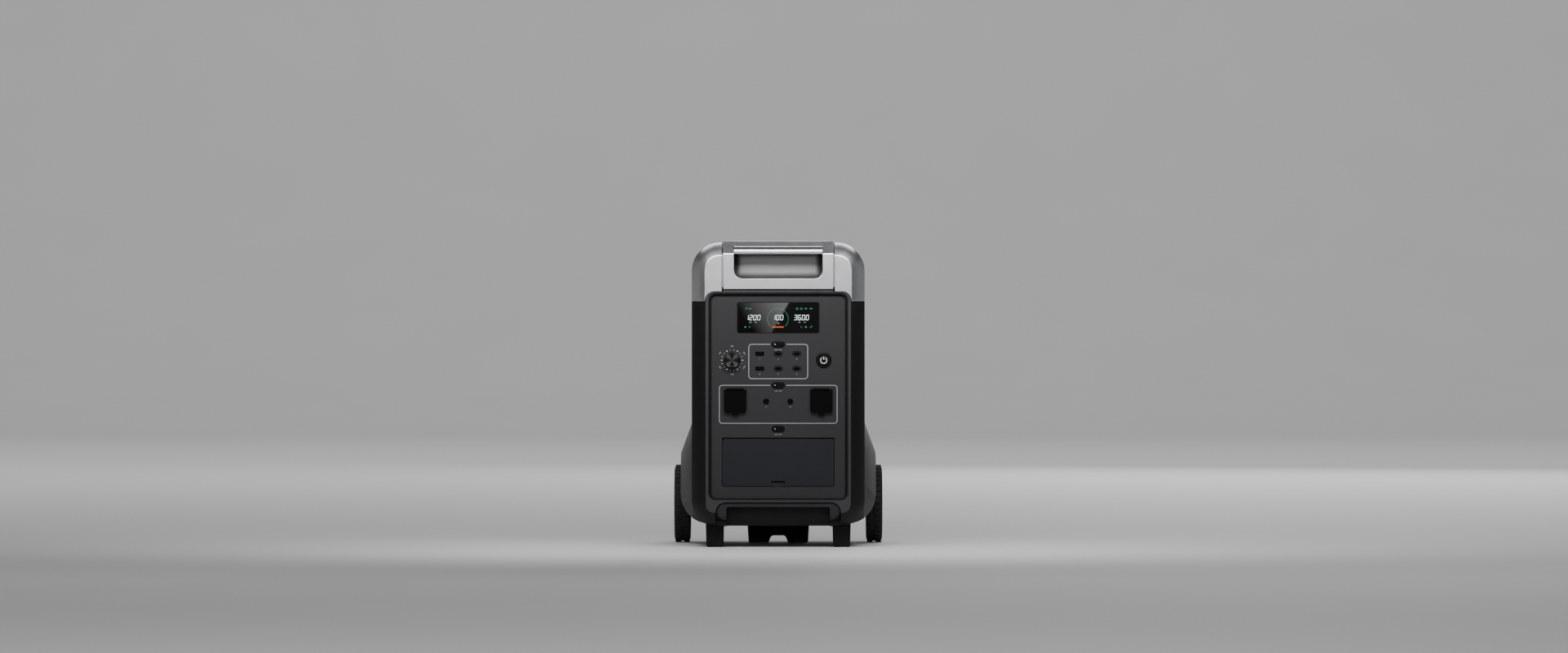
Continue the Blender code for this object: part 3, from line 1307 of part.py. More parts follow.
def build_base():
    front = FRONT_Y - ARCH_PROUD
    arch = prism("base_arch", [arch_outline()], "Y", front, FRONT_Y + ARCH_DEPTH, panel_plastic())
    end = ARCH_TOP - ARCH_DROP
    round_edges(arch, ARCH_TOE, 2, lambda a, b: at_y(front)(a, b) and at_z(end)(a, b))
    top = GROUND_CLEARANCE + BOTTOM_CORNER_RADIUS / 2
    y0 = FRONT_Y + FOOT_SETBACK
    for side in (-1, 1):
        name = mirrored_name("front_foot", side)
        inner, outer = FOOT_INNER_X, FOOT_INNER_X + FOOT_WIDTH
        points = outline(
            [
                (side * (inner + FOOT_TAPER), 0, 0),
                (side * (outer - FOOT_TAPER), 0, 0),
                (side * outer, top, 0),
                (side * inner, top, 0),
            ]
        )
        foot = prism(name, [points], "Y", y0, y0 + FOOT_LENGTH, black_rubber())
        round_edges(foot, FOOT_EDGE_ROUND, 2, at_z(0))
        cut(foot, envelope(name + "_seat", -CLEARANCE))
    wide, narrow = SKID_WIDTH / 2, SKID_WIDTH / 2 - SKID_TAPER
    low, high = SKID_CLEARANCE, GROUND_CLEARANCE - CLEARANCE
    arch_half = SKID_ARCH_WIDTH / 2
    arch_top = low + SKID_ARCH_HEIGHT
    skid_points = outline(
        [
            (-narrow, low, SKID_EDGE_ROUND),
            (-arch_half, low, SKID_TOE_ROUND),
            (-arch_half * SKID_ARCH_TAPER, arch_top, SKID_ARCH_RADIUS),
            (arch_half * SKID_ARCH_TAPER, arch_top, SKID_ARCH_RADIUS),
            (arch_half, low, SKID_TOE_ROUND),
            (narrow, low, SKID_EDGE_ROUND),
            (wide, high, 0),
            (-wide, high, 0),
        ]
    )
    start = FRONT_Y + SKID_SETBACK
    prism("centre_skid", [skid_points], "Y", start, start + SKID_LENGTH, black_plastic())


def build_wheels():
    end = WHEEL_OUTER_X - HUB_CAP - 2 * CLEARANCE
    axle = cylinder("axle", "X", AXLE_Y, WHEEL_RADIUS, AXLE_RADIUS, -end, end, 20)
    axle.data.materials.append(brushed_steel())
    seat = WHEEL_RADIUS - TYRE_THICKNESS
    r = WHEEL_RADIUS
    groove = TREAD_GROOVE_WIDTH
    for side in (-1, 1):
        centre = (side * (WHEEL_INNER_X + WHEEL_OUTER_X) / 2, AXLE_Y, WHEEL_RADIUS)
        half = WHEEL_WIDTH / 2
        shoulder = TYRE_SHOULDER
        arc = [
            (r - shoulder + shoulder * math.cos(a), half - shoulder + shoulder * math.sin(a))
            for a in (math.radians(90 - 30 * i) for i in range(4))
        ]
        groove_top = [(r, groove * 1.5), (r - TREAD_GROOVE_DEPTH, groove), (r - TREAD_GROOVE_DEPTH, groove / 2)]
        half_tread = arc + groove_top + [(r, groove / 4)]
        lower = [(radius, -place) for radius, place in reversed(half_tread)]
        tyre_profile = [(seat, half - TYRE_BEAD), (r - shoulder - TYRE_SIDE, half)] + half_tread + lower
        tyre_profile += [(r - shoulder - TYRE_SIDE, -half), (seat, TYRE_BEAD - half)]
        tyre = turned(mirrored_name("tyre", side), tyre_profile, "X", 0, 0, WHEEL_SIDES, black_rubber())
        tyre.location = centre

        hub_name = mirrored_name("wheel_hub", side)
        rim_outer = seat - CLEARANCE
        rim_inner = rim_outer - HUB_RIM
        out = side * (half - TYRE_BEAD)
        web = (out - side * HUB_WEB, out)
        hub = cylinder(hub_name, "X", 0, 0, rim_outer - EMBED, *web, WHEEL_SIDES, hub_plastic())
        reach = side * HUB_WEB
        windows = [
            prism(f"{hub_name}_window_{i}", [spoke_window(i, rim_inner)], "X", web[0] - reach, web[1] + reach)
            for i in range(SPOKE_COUNT)
        ]
        ring = [circle(0, 0, rim_outer, WHEEL_SIDES), circle(0, 0, rim_inner, WHEEL_SIDES)]
        rim = prism(hub_name + "_rim", ring, "X", TYRE_BEAD + EMBED / 2 - half, half - TYRE_BEAD - EMBED / 2)
        inner_end = side * (HALF_WIDTH + CLEARANCE * 2) - centre[0]
        boss = cylinder(hub_name + "_boss", "X", 0, 0, HUB_BOSS_RADIUS, inner_end, side * half, 24)
        bore_end = side * (half - HUB_CAP)
        bore_start = inner_end - side * OVERSHOOT
        bore = cylinder(hub_name + "_bore", "X", 0, 0, AXLE_RADIUS + RUNNING_GAP, bore_start, bore_end, 20)
        for piece in (hub, rim, boss, bore, *windows):
            piece.location = centre
        cut(hub, *windows)
        join(hub, rim, boss)
        cut(hub, bore)
        build_fender(side)


def spoke_window(index, rim_inner):
    """A gap between two spokes, as an outline round the wheel's axis."""
    half_turn = math.pi / SPOKE_COUNT
    middle = math.tau * index / SPOKE_COUNT
    outer_half = half_turn - SPOKE_WIDTH / 2 / rim_inner
    inner_radius = HUB_BOSS_RADIUS + HUB_LAND
    inner_half = half_turn - SPOKE_WIDTH / 2 / inner_radius
    points = []
    for radius, half, direction in ((rim_inner - EMBED, outer_half, 1), (inner_radius, inner_half, -1)):
        for step in range(-2, 3):
            angle = middle + direction * half * step / 2
            points.append((radius * math.cos(angle), radius * math.sin(angle)))
    return points


def build_fender(side):
    name = mirrored_name("fender", side)
    x0, x1 = HALF_WIDTH - BOTTOM_CORNER_RADIUS, HALF_WIDTH + FENDER_REACH
    opening = WHEEL_RADIUS + FENDER_GAP
    profile = [
        (opening, x1),
        (FENDER_FACE_RADIUS, x1),
        (FENDER_BASE_RADIUS, HALF_WIDTH + CLEARANCE),
        (FENDER_BASE_RADIUS, x0),
        (opening, x0),
    ]
    if side < 0:
        profile = [(radius, -x) for radius, x in reversed(profile)]
    fender = turned(name, profile, "X", AXLE_Y, WHEEL_RADIUS, 48, panel_plastic())
    low, high = GROUND_CLEARANCE, GROUND_CLEARANCE + FENDER_BASE_RADIUS * 2
    mid = HALF_WIDTH - FENDER_BOTTOM_RADIUS
    trim_points = outline(
        [
            (side * mid, low, 0),
            (side * x1, low, FENDER_BOTTOM_RADIUS),
            (side * (x1 + SAME_PLACE), high, 0),
            (side * mid, high, 0),
        ]
    )
    trim = prism(name + "_trim", [trim_points], "Y", FRONT_Y, REAR_Y - REAR_CHAMFER)
    combine(fender, trim, "INTERSECT")
    cut(fender, envelope(name + "_seat", -CLEARANCE))


# Cooling


def build_cooling():
    louvres = []
    for i in range(LOUVRE_COUNT):
        z = FAN_Z + (i - (LOUVRE_COUNT - 1) / 2) * LOUVRE_PITCH
        louvres.append(pill(FAN_Y, z, LOUVRE_LENGTH, LOUVRE_HEIGHT))
    spokes = 4
    hub = circle(FAN_Y, FAN_Z, FAN_BORE_RADIUS)
    square = centred(FAN_Y, FAN_Z, FAN_SIZE, FAN_SIZE, FAN_CORNER_RADIUS)
    for side in (-1, 1):
        name = mirrored_name("vent_grille", side)
        x1 = side * HALF_WIDTH
        x0 = x1 - side * GRILLE_THICKNESS
        prism(name, [grille_outline()] + louvres, "X", x0, x1, black_plastic())
        frame_out = side * (INNER_HALF_WIDTH - CLEARANCE)
        frame_in = frame_out - side * FAN_DEPTH
        frame_name = mirrored_name("fan_frame", side)
        frame = prism(frame_name, [square, hub], "X", frame_in, frame_out, black_plastic())
        windows = [fan_window(i, spokes) for i in range(spokes)]
        spider_points = [circle(FAN_Y, FAN_Z, FAN_BORE_RADIUS + EMBED)] + windows
        spider = prism(frame.name + "_spider", spider_points, "X", frame_in, frame_in + side * FAN_SPIDER)
        join(frame, spider)
        build_rotor(side, frame_in + side * (FAN_SPIDER + CLEARANCE), frame_out - side * FAN_BLADE_GAP)


def fan_window(index, spokes):
    inner, outer = FAN_HUB_RADIUS - EMBED, FAN_BORE_RADIUS - EMBED / 2
    middle = math.tau * (index + 0.5) / spokes
    points = []
    for radius, direction in ((outer, 1), (inner, -1)):
        half = math.pi / spokes - FAN_SPOKE_WIDTH / 2 / radius
        for step in range(-2, 3):
            angle = middle + direction * half * step / 2
            points.append((FAN_Y + radius * math.cos(angle), FAN_Z + radius * math.sin(angle)))
    return points


def build_rotor(side, start, end):
    name = mirrored_name("fan_rotor", side)
    rotor = cylinder(name, "X", FAN_Y, FAN_Z, FAN_HUB_RADIUS - FAN_BLADE_GAP, start, end, 24)
    rotor.data.materials.append(black_plastic())
    reach = FAN_BORE_RADIUS - FAN_BLADE_GAP
    middle = (start + end) / 2
    chord = abs(end - start) * 0.8 / math.cos(FAN_BLADE_PITCH) / 2
    for i in range(FAN_BLADE_COUNT):
        blade = box(
            f"{name}_blade_{i}",
            (-chord, -FAN_BLADE_THICKNESS / 2, FAN_HUB_RADIUS * 0.7),
            (chord, FAN_BLADE_THICKNESS / 2, reach - FAN_BLADE_ROUND),
        )
        turn = Matrix.Rotation(math.tau * i / FAN_BLADE_COUNT, 4, "X")
        pitch = Matrix.Rotation(FAN_BLADE_PITCH, 4, "Z")
        blade.data.transform(Matrix.Translation((middle, FAN_Y, FAN_Z)) @ turn @ pitch)
        join(rotor, blade)
    set_origin(rotor, (middle, FAN_Y, FAN_Z))


# Battery and electronics


def build_battery():
    half = BATTERY_HALF_WIDTH
    front, rear = BATTERY_FRONT_Y, BATTERY_REAR_Y
    wall = TRAY_PLATE
    top = TRAY_Z + TRAY_LIP
    tray = box("battery_tray", (-half, front, TRAY_Z), (half, rear, top), sheet_metal())
    well_low = (-half + wall, front + wall, TRAY_Z + wall)
    well = box("battery_tray_well", well_low, (half - wall, rear - wall, top + OVERSHOOT))
    cut(tray, well)
    for side in (-1, 1):
        x = side * TRAY_RAIL_SPACING / 2
        low = (x - TRAY_RAIL_WIDTH / 2, front, FLOOR_Z + CLEARANCE)
        rail = box(mirrored_name("battery_rail", side), low, (x + TRAY_RAIL_WIDTH / 2, rear, TRAY_Z + EMBED))
        join(tray, rail)
        inner = STACK_GAP / 2
        outer = half - wall - 2 * CLEARANCE
        y0, y1 = front + wall + 2 * CLEARANCE, rear - wall - 2 * CLEARANCE
        prism(
            mirrored_name("cell_stack", side),
            [stack_outline(side * inner, side * outer, y0, y1)],
            "Z",
            CELL_BOTTOM,
            CELL_TOP,
            cell_wrap(),
        )
    middle = (front + rear) / 2
    low, high = CELL_TOP + BOARD_STANDOFF, CELL_TOP + BOARD_STANDOFF + BOARD_THICKNESS
    board_points = centred(0, middle, BMS_LENGTH, BMS_WIDTH, BOARD_CORNER_RADIUS)
    board = prism("battery_board", [board_points], "Z", low, high, circuit_board())
    add_standoffs(board, 0, middle, BMS_LENGTH, BMS_WIDTH, CELL_TOP + CLEARANCE, low + BOARD_THICKNESS / 2)


def stack_outline(inner, outer, y0, y1):
    """A row of cells seen from above, with a shallow seam between neighbours."""
    pitch = (y1 - y0) / CELL_COUNT
    seam = math.copysign(CELL_SEAM, outer)
    points = [(inner, y0), (outer, y0)]
    for i in range(1, CELL_COUNT):
        y = y0 + i * pitch
        points += [(outer, y - CELL_SEAM), (outer - seam, y), (outer, y + CELL_SEAM)]
    points += [(outer, y1), (inner, y1)]
    for i in range(CELL_COUNT - 1, 0, -1):
        y = y0 + i * pitch
        points += [(inner, y + CELL_SEAM), (inner + seam, y), (inner, y - CELL_SEAM)]
    return points


def add_standoffs(board, x, y, length, width, low, high):
    for i in (-1, 1):
        for j in (-1, 1):
            u = x + i * (length / 2 - 2 * STANDOFF_RADIUS)
            v = y + j * (width / 2 - 2 * STANDOFF_RADIUS)
            post = cylinder(f"{board.name}_post_{i}_{j}", "Z", u, v, STANDOFF_RADIUS, low, high, 12)
            join(board, post)


def build_electronics():
    half = INNER_HALF_WIDTH - CLEARANCE
    plate = DECK_PLATE
    deck_low = (-half, DECK_FRONT_Y, DECK_Z)
    deck = box("electronics_deck", deck_low, (half, DECK_REAR_Y, DECK_Z + plate), sheet_metal())
    for side in (-1, 1):
        outer, inner = side * half, side * (half - plate)
        low = (min(outer, inner), DECK_FRONT_Y, DECK_Z - DECK_FLANGE)
        flange = box(mirrored_name("deck_flange", side), low, (max(outer, inner), DECK_REAR_Y, DECK_Z + plate))
        join(deck, flange)
    middle = (DECK_FRONT_Y + DECK_REAR_Y) / 2
    base = DECK_Z + plate + CLEARANCE
    low = base + BOARD_STANDOFF
    board_points = centred(0, middle, INVERTER_WIDTH, INVERTER_LENGTH, BOARD_CORNER_RADIUS)
    board = prism("inverter_board", [board_points], "Z", low, low + BOARD_THICKNESS, circuit_board())
    add_standoffs(board, 0, middle, INVERTER_WIDTH, INVERTER_LENGTH, base, low + BOARD_THICKNESS / 2)
    part_base = low + BOARD_THICKNESS - EMBED / 2
    edge = INVERTER_WIDTH / 2 - INVERTER_MARGIN
    back = middle - INVERTER_LENGTH / 2 + INVERTER_MARGIN
    core_low = (-edge, back, part_base)
    core_high = (TRANSFORMER_SIZE - edge, back + TRANSFORMER_SIZE, part_base + TRANSFORMER_SIZE)
    core = box("transformer", core_low, core_high)
    join(board, core)
    for i in range(3):
        x = edge - CAPACITOR_RADIUS - i * 2.2 * CAPACITOR_RADIUS
        can = cylinder(
            f"capacitor_{i}", "Z", x, back + CAPACITOR_RADIUS, CAPACITOR_RADIUS, part_base,
            part_base + CAPACITOR_HEIGHT, 16
        )
        join(board, can)
    sink_low = low + BOARD_THICKNESS + CLEARANCE
    sink_rear = middle + INVERTER_LENGTH / 2 - INVERTER_MARGIN
    sink_points = sink_outline(sink_rear - SINK_WIDTH, sink_rear, sink_low)
    prism("heat_sink", [sink_points], "X", -SINK_LENGTH / 2, SINK_LENGTH / 2, sheet_metal())


def sink_outline(y0, y1, z):
    """A finned extrusion seen from its end, so that air blows along the fins from side to side."""
    pitch = (y1 - y0 - FIN_THICKNESS) / (FIN_COUNT - 1)
    points = [(y0, z), (y1, z)]
    for i in range(FIN_COUNT - 1, -1, -1):
        start = y0 + i * pitch
        points.append((start + FIN_THICKNESS, z + SINK_HEIGHT))
        points.append((start, z + SINK_HEIGHT))
        if i:
            points.append((start, z + SINK_BASE))
            points.append((start - pitch + FIN_THICKNESS, z + SINK_BASE))
    return points


def assemble():
    """Puts every part under one empty."""
    root = bpy.data.objects.new("power_station_root", None)
    bpy.data.collections[PARTS].objects.link(root)
    for obj in list(bpy.data.collections[PARTS].objects):
        if obj is not root:
            obj.parent = root


clear_scene()
build_shells()
build_rear()
build_bezel()
build_panel()
build_display()
build_usb()
build_controls()
build_dc_sockets()
build_dc_jacks()
build_ac_bay()
build_handle_housing()
build_handle()
build_base()
build_wheels()
build_cooling()
build_battery()
build_electronics()
assemble()
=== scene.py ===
"""Looks of the wheeled power station: finishes, printing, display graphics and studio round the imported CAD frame.

Metres, +Z up, the control panel facing -Y. Each section makes one piece or group of the object as it is assembled.
"""

import json
import math

import bmesh
import bpy
from mathutils import Matrix, Vector

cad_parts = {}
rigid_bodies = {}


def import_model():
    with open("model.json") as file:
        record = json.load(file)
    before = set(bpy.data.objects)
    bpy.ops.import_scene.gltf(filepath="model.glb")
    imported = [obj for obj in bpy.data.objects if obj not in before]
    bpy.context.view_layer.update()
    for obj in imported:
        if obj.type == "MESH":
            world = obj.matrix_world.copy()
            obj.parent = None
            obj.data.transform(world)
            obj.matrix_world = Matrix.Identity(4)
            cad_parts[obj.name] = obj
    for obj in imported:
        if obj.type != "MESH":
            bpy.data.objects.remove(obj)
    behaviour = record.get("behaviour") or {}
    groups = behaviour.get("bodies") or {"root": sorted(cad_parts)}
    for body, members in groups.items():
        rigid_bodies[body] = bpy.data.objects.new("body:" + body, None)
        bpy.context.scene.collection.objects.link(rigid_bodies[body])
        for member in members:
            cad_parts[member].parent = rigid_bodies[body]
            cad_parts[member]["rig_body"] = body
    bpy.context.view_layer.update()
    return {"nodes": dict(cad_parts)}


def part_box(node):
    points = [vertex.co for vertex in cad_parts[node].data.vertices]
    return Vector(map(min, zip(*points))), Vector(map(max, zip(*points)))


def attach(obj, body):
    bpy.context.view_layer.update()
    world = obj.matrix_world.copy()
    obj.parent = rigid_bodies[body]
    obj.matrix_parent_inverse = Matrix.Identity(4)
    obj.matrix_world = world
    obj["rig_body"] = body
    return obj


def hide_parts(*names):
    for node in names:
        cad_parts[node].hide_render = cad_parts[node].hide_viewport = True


for leftover in list(bpy.data.objects):
    bpy.data.objects.remove(leftover)
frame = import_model()


# Housing shells.
# Two deep mouldings of painted plastic, a silver upper one and a black lower one, that meet in a straight joint
# line. Both have a crowned chamfer round the front and a fine spark-eroded grain under the paint.


class Wire:
    """A shader socket. Python's operators on it add Math nodes, and add() puts in any other node."""

    def __init__(self, tree, socket=None):
        self.tree = tree
        self.socket = socket

    def add(self, kind, settings=None, inputs=None, output=0):
        """A new node with its settings made first, then its sockets set or linked."""
        node = self.tree.nodes.new(kind)
        for name, value in (settings or {}).items():
            setattr(node, name, value)
        for name, value in (inputs or {}).items():
            if isinstance(value, Wire):
                self.tree.links.new(value.socket, node.inputs[name])
            else:
                node.inputs[name].default_value = value
        return Wire(self.tree, node.outputs[output])

    def math(self, operation, first, second=0.0):
        """A Math node on wires or numbers."""
        return self.add("ShaderNodeMath", {"operation": operation}, {0: first, 1: second})

    def __add__(self, other):
        return self.math("ADD", self, other)

    __radd__ = __add__

    def __sub__(self, other):
        return self.math("SUBTRACT", self, other)

    def __rsub__(self, other):
        return self.math("SUBTRACT", other, self)

    def __mul__(self, other):
        return self.math("MULTIPLY", self, other)

    __rmul__ = __mul__

    def __pow__(self, other):
        return self.math("POWER", self, other)

    def __rpow__(self, other):
        return self.math("POWER", other, self)

    def __abs__(self):
        return self.math("ABSOLUTE", self)


def grey(level):
    """A neutral colour."""
    return (level, level, level, 1)


def new_finish(name, **constants):
    """A material with constants set on its Principled shader, a Wire to its tree and one to Object coordinates."""
    made = bpy.data.materials.new(name)
    made.use_nodes = True
    shader = made.node_tree.nodes["Principled BSDF"]
    for socket, value in constants.items():
        shader.inputs[socket.replace("_", " ").title().replace("Ior", "IOR")].default_value = value
    tree = Wire(made.node_tree)
    return made, tree, tree.add("ShaderNodeTexCoord", output="Object")


def plug(made, socket, wire):
    """Links a wire to an input of the material's Principled shader."""
    made.node_tree.links.new(wire.socket, made.node_tree.nodes["Principled BSDF"].inputs[socket])


def mixed(tree, factor, first, second):
    """The colour between two others, which go into the Mix node's sockets 6 and 7."""
    return tree.add("ShaderNodeMix", {"data_type": "RGBA"}, {"Factor": factor, 6: first, 7: second}, output=2)


def noise(tree, place, scale, detail=2.0):
    """Cloudy noise from 0 to 1."""
    return tree.add("ShaderNodeTexNoise", None, {"Vector": place, "Scale": scale, "Detail": detail})


def dimmed(colour, share):
    """A colour times a share of its light."""
    return tuple(share * level for level in colour[:3]) + (1,)


CLOUD_SCALE, CLOUD_SPREAD = 9.0, 0.10  # slow changes of shade over a moulding
GLOSS_SCALE, GLOSS_SPREAD = 60.0, 0.06
SHADOW = 0.002  # grey painted where a place lies in full shade
SHADOW_ROUGHER = 0.4


def moulded(name, colour, roughness, grain=1500.0, depth=0.00002, metallic=0.0, shine=0.5, shade=None):
    """Moulded plastic: slow changes of shade, uneven gloss and a fine grain.

    A shade function gives the places where shade is painted into the colour and the gloss, 0 there and 1 in full
    light.
    """
    made, tree, place = new_finish(name, metallic=metallic, specular_ior_level=shine)
    cloud = noise(tree, place, CLOUD_SCALE, 3.0)
    colour = mixed(tree, cloud, dimmed(colour, 1 - CLOUD_SPREAD), dimmed(colour, 1 + CLOUD_SPREAD))
    gloss = roughness - GLOSS_SPREAD + 2 * GLOSS_SPREAD * noise(tree, place, GLOSS_SCALE, 4.0)
    if shade:
        lit = shade(tree, place)
        colour = mixed(tree, lit, grey(SHADOW), colour)
        gloss = gloss + SHADOW_ROUGHER * (1.0 - lit)
    plug(made, "Base Color", colour)
    plug(made, "Roughness", gloss)
    fine = noise(tree, place, grain, 1.0)
    plug(made, "Normal", tree.add("ShaderNodeBump", None, {"Strength": 0.5, "Distance": depth, "Height": fine}))
    return made


def outfit(obj, body, slot=None, *nodes):
    """Hangs a finished piece on its body, in place of the named CAD nodes."""
    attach(obj, body)
    if nodes:
        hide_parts(*nodes)
    return obj


MERGE_DISTANCE = 0.000005
FLAT_ANGLE = math.radians(0.3)  # faces that meet at less than this become one
CREASE = math.radians(28)


def softened(node, finish, slot, edge=0.0003, segments=2):
    """A copy of a CAD node with its points merged and its sharp edges rounded, shown in the node's place."""
    source = frame["nodes"][node]
    mesh = bpy.data.meshes.new(node + "_skin")
    work = bmesh.new()
    work.from_mesh(source.data)
    bmesh.ops.remove_doubles(work, verts=work.verts, dist=MERGE_DISTANCE)
    if edge:
        bmesh.ops.dissolve_limit(work, angle_limit=FLAT_ANGLE, verts=work.verts, edges=work.edges)
    work.verts.index_update()
    corners = [[vertex.index for vertex in face.verts] for face in work.faces]
    mesh.from_pydata([vertex.co for vertex in work.verts], [], corners)
    work.free()
    mesh.shade_smooth()
    mesh.set_sharp_from_angle(angle=CREASE)
    mesh.materials.append(finish)
    obj = bpy.data.objects.new(node + "_skin", mesh)
    bpy.context.scene.collection.objects.link(obj)
    if edge:
        bevel = obj.modifiers.new("edges", "BEVEL")
        bevel.width = edge
        bevel.segments = segments
        bevel.limit_method = "ANGLE"
        bevel.angle_limit = CREASE
        bevel.use_clamp_overlap = False
        bevel.miter_outer = "MITER_ARC"
    flat = obj.modifiers.new("flat_faces", "WEIGHTED_NORMAL")
    flat.keep_sharp = True
    return outfit(obj, source["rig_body"], slot, node)


SILVER = (0.72, 0.73, 0.745, 1)
BLACK = (0.0055, 0.0055, 0.006, 1)
silver_plastic = moulded("silver_plastic", SILVER, 0.31, 1900.0, 0.000006, metallic=1.0)
black_plastic = moulded("black_plastic", BLACK, 0.46, 1300.0, 0.00002, shine=0.25)
softened("upper_shell", silver_plastic, "silver_plastic", 0.0005)
softened("lower_shell", black_plastic, "black_plastic", 0.0005)


# Rear cover and its inlets.
# A grained plastic cover screwed over the back, with a recessed mains inlet and a round solar inlet in it.
softened("rear_cover", black_plastic, "black_plastic", 0.0004)
gloss_black = moulded("gloss_black", (0.003, 0.003, 0.0033, 1), 0.22, 700.0, 0.000002, shine=0.22)
softened("ac_inlet", gloss_black, "gloss_black", 0.0003)
softened("solar_inlet", gloss_black, "gloss_black", 0.0003)


def drawn_metal(name, stretch, dark, light, roughness, spread):
    """Metal with fine streaks along x, which change its shade and its gloss."""
    made, tree, place = new_finish(name, metallic=1.0)
    streaks = noise(tree, tree.add("ShaderNodeMapping", None, {"Vector": place, "Scale": stretch}), 1.0, 4.0)
    plug(made, "Base Color", mixed(tree, streaks, grey(dark), grey(light)))
    plug(made, "Roughness", roughness + spread * streaks)
    return made


brushed_steel = drawn_metal("brushed_steel", (40, 900, 900), 0.42, 0.58, 0.24, 0.20)
PIN_SETBACK = 0.005  # tips of the contacts behind the cover's face
WELL_DEPTH = 0.016
BLADE = (0.0020, 0.0058)  # width and height
ROUND_PIN = 0.0016
MAINS_CONTACTS = ((-0.0065, -0.002), (0.0, 0.003), (0.0065, -0.002))  # from the inlet's middle
SOLAR_CONTACTS = ((-0.006, 0.0), (0.006, 0.0))
FACING_FRONT = Matrix.Rotation(math.pi / 2, 4, "X")  # local z to -y


def placed(mesh, name, *finishes):
    """An object for a mesh that is already in place."""
    for finish in finishes:
        mesh.materials.append(finish)
    obj = bpy.data.objects.new(name, mesh)
    bpy.context.scene.collection.objects.link(obj)
    return obj


def from_work(work, name):
    """Closes a bmesh into a mesh with its faces turned outward."""
    bmesh.ops.recalc_face_normals(work, faces=work.faces)
    mesh = bpy.data.meshes.new(name)
    work.to_mesh(mesh)
    work.free()
    return mesh


def finished(work, name, finish, body, slot=None):
    """Makes a bmesh a piece of its own on a body."""
    return outfit(placed(from_work(work, name), name, finish), body, slot)


def add_pin(work, place, radius, length):
    """A round pin along y, round its middle."""
    sizes = {"radius1": radius, "radius2": radius, "depth": length}
    lying = Matrix.Translation(place) @ FACING_FRONT
    bmesh.ops.create_cone(work, cap_ends=True, segments=16, matrix=lying, **sizes)


contacts = bmesh.new()
pin_length = WELL_DEPTH - PIN_SETBACK
for inlet, spots in (("ac_inlet", MAINS_CONTACTS), ("solar_inlet", SOLAR_CONTACTS)):
    low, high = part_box(inlet)
    middle = (low + high) / 2
    for x, z in spots:
        spot = (middle.x + x, high.y - PIN_SETBACK - pin_length / 2, middle.z + z)
        if inlet == "ac_inlet":
            blade = Matrix.Diagonal((BLADE[0], pin_length, BLADE[1], 1))
            bmesh.ops.create_cube(contacts, size=1.0, matrix=Matrix.Translation(spot) @ blade)
        else:
            add_pin(contacts, spot, ROUND_PIN, pin_length)
finished(contacts, "inlet_contacts", brushed_steel, "housing", "brushed_steel")


def node_group(name, inputs):
    """An empty Geometry Nodes group, its inputs' identifiers, and a function that adds and links its nodes."""
    group = bpy.data.node_groups.new(name, "GeometryNodeTree")
    sockets = {}
    for label, kind in (("Geometry", "NodeSocketGeometry"), *inputs):
        sockets[label] = group.interface.new_socket(label, in_out="INPUT", socket_type=kind).identifier
    group.interface.new_socket("Geometry", in_out="OUTPUT", socket_type="NodeSocketGeometry")
    made = {"in": group.nodes.new("NodeGroupInput")}

    def add(key, kind, links=(), **settings):
        node = group.nodes.new(kind)
        for setting, value in settings.items():
            setattr(node, setting, value)
        for socket, (other, output) in links:
            group.links.new(made[other].outputs[output], node.inputs[socket])
        made[key] = node
        return node

    return group, sockets, add


def grown(name, points, group, sockets, values, finish):
    """Runs a group on a cloud of points and keeps what it makes as one plain mesh of one finish."""
    holder_mesh = bpy.data.meshes.new(name + "_points")
    holder_mesh.from_pydata(points, [], [])
    holder = bpy.data.objects.new(name + "_points", holder_mesh)
    bpy.context.scene.collection.objects.link(holder)
    modifier = holder.modifiers.new("copies", "NODES")
    modifier.node_group = group
    for label, value in {**values, "Finish": finish}.items():
        modifier[sockets[label]] = value
    bpy.context.view_layer.update()
    mesh = bpy.data.meshes.new_from_object(holder.evaluated_get(bpy.context.evaluated_depsgraph_get()))
    bpy.data.objects.remove(holder)
    mesh.materials.clear()
    mesh.materials.append(finish)
    return mesh


screw_nodes, screw_sockets, add = node_group(
    "screws",
    (
        ("Finish", "NodeSocketMaterial"),
        ("Radius", "NodeSocketFloat"),
        ("Height", "NodeSocketFloat"),
        ("Sides", "NodeSocketInt"),
        ("Turn", "NodeSocketVector"),
    ),
)
add(
    "head",
    "GeometryNodeMeshCylinder",
    (("Vertices", ("in", "Sides")), ("Radius", ("in", "Radius")), ("Depth", ("in", "Height"))),
)
add("facing", "FunctionNodeEulerToRotation", ((0, ("in", "Turn")),))
add(
    "copies",
    "GeometryNodeInstanceOnPoints",
    (("Points", ("in", "Geometry")), ("Instance", ("head", "Mesh")), ("Rotation", ("facing", 0))),
)
add("real", "GeometryNodeRealizeInstances", ((0, ("copies", 0)),))
add("painted", "GeometryNodeSetMaterial", (("Geometry", ("real", 0)), ("Material", ("in", "Finish"))))
add("out", "NodeGroupOutput", ((0, ("painted", 0)),))
zinc = moulded("black_zinc", grey(0.05), 0.35, 2500.0, 0.000004, metallic=0.9)
screw_hollow_shade = moulded("screw_hollow_shade", grey(0.001), 0.8, 900.0, 0.00001, shine=0.1)
SCREW_RADIUS = 0.0028
SCREW_RISE = 0.00008  # the heads lie in countersinks, flush with the face
HEX_RADIUS = 0.0014
ROUND_SIDES, HEX_SIDES = 24, 6


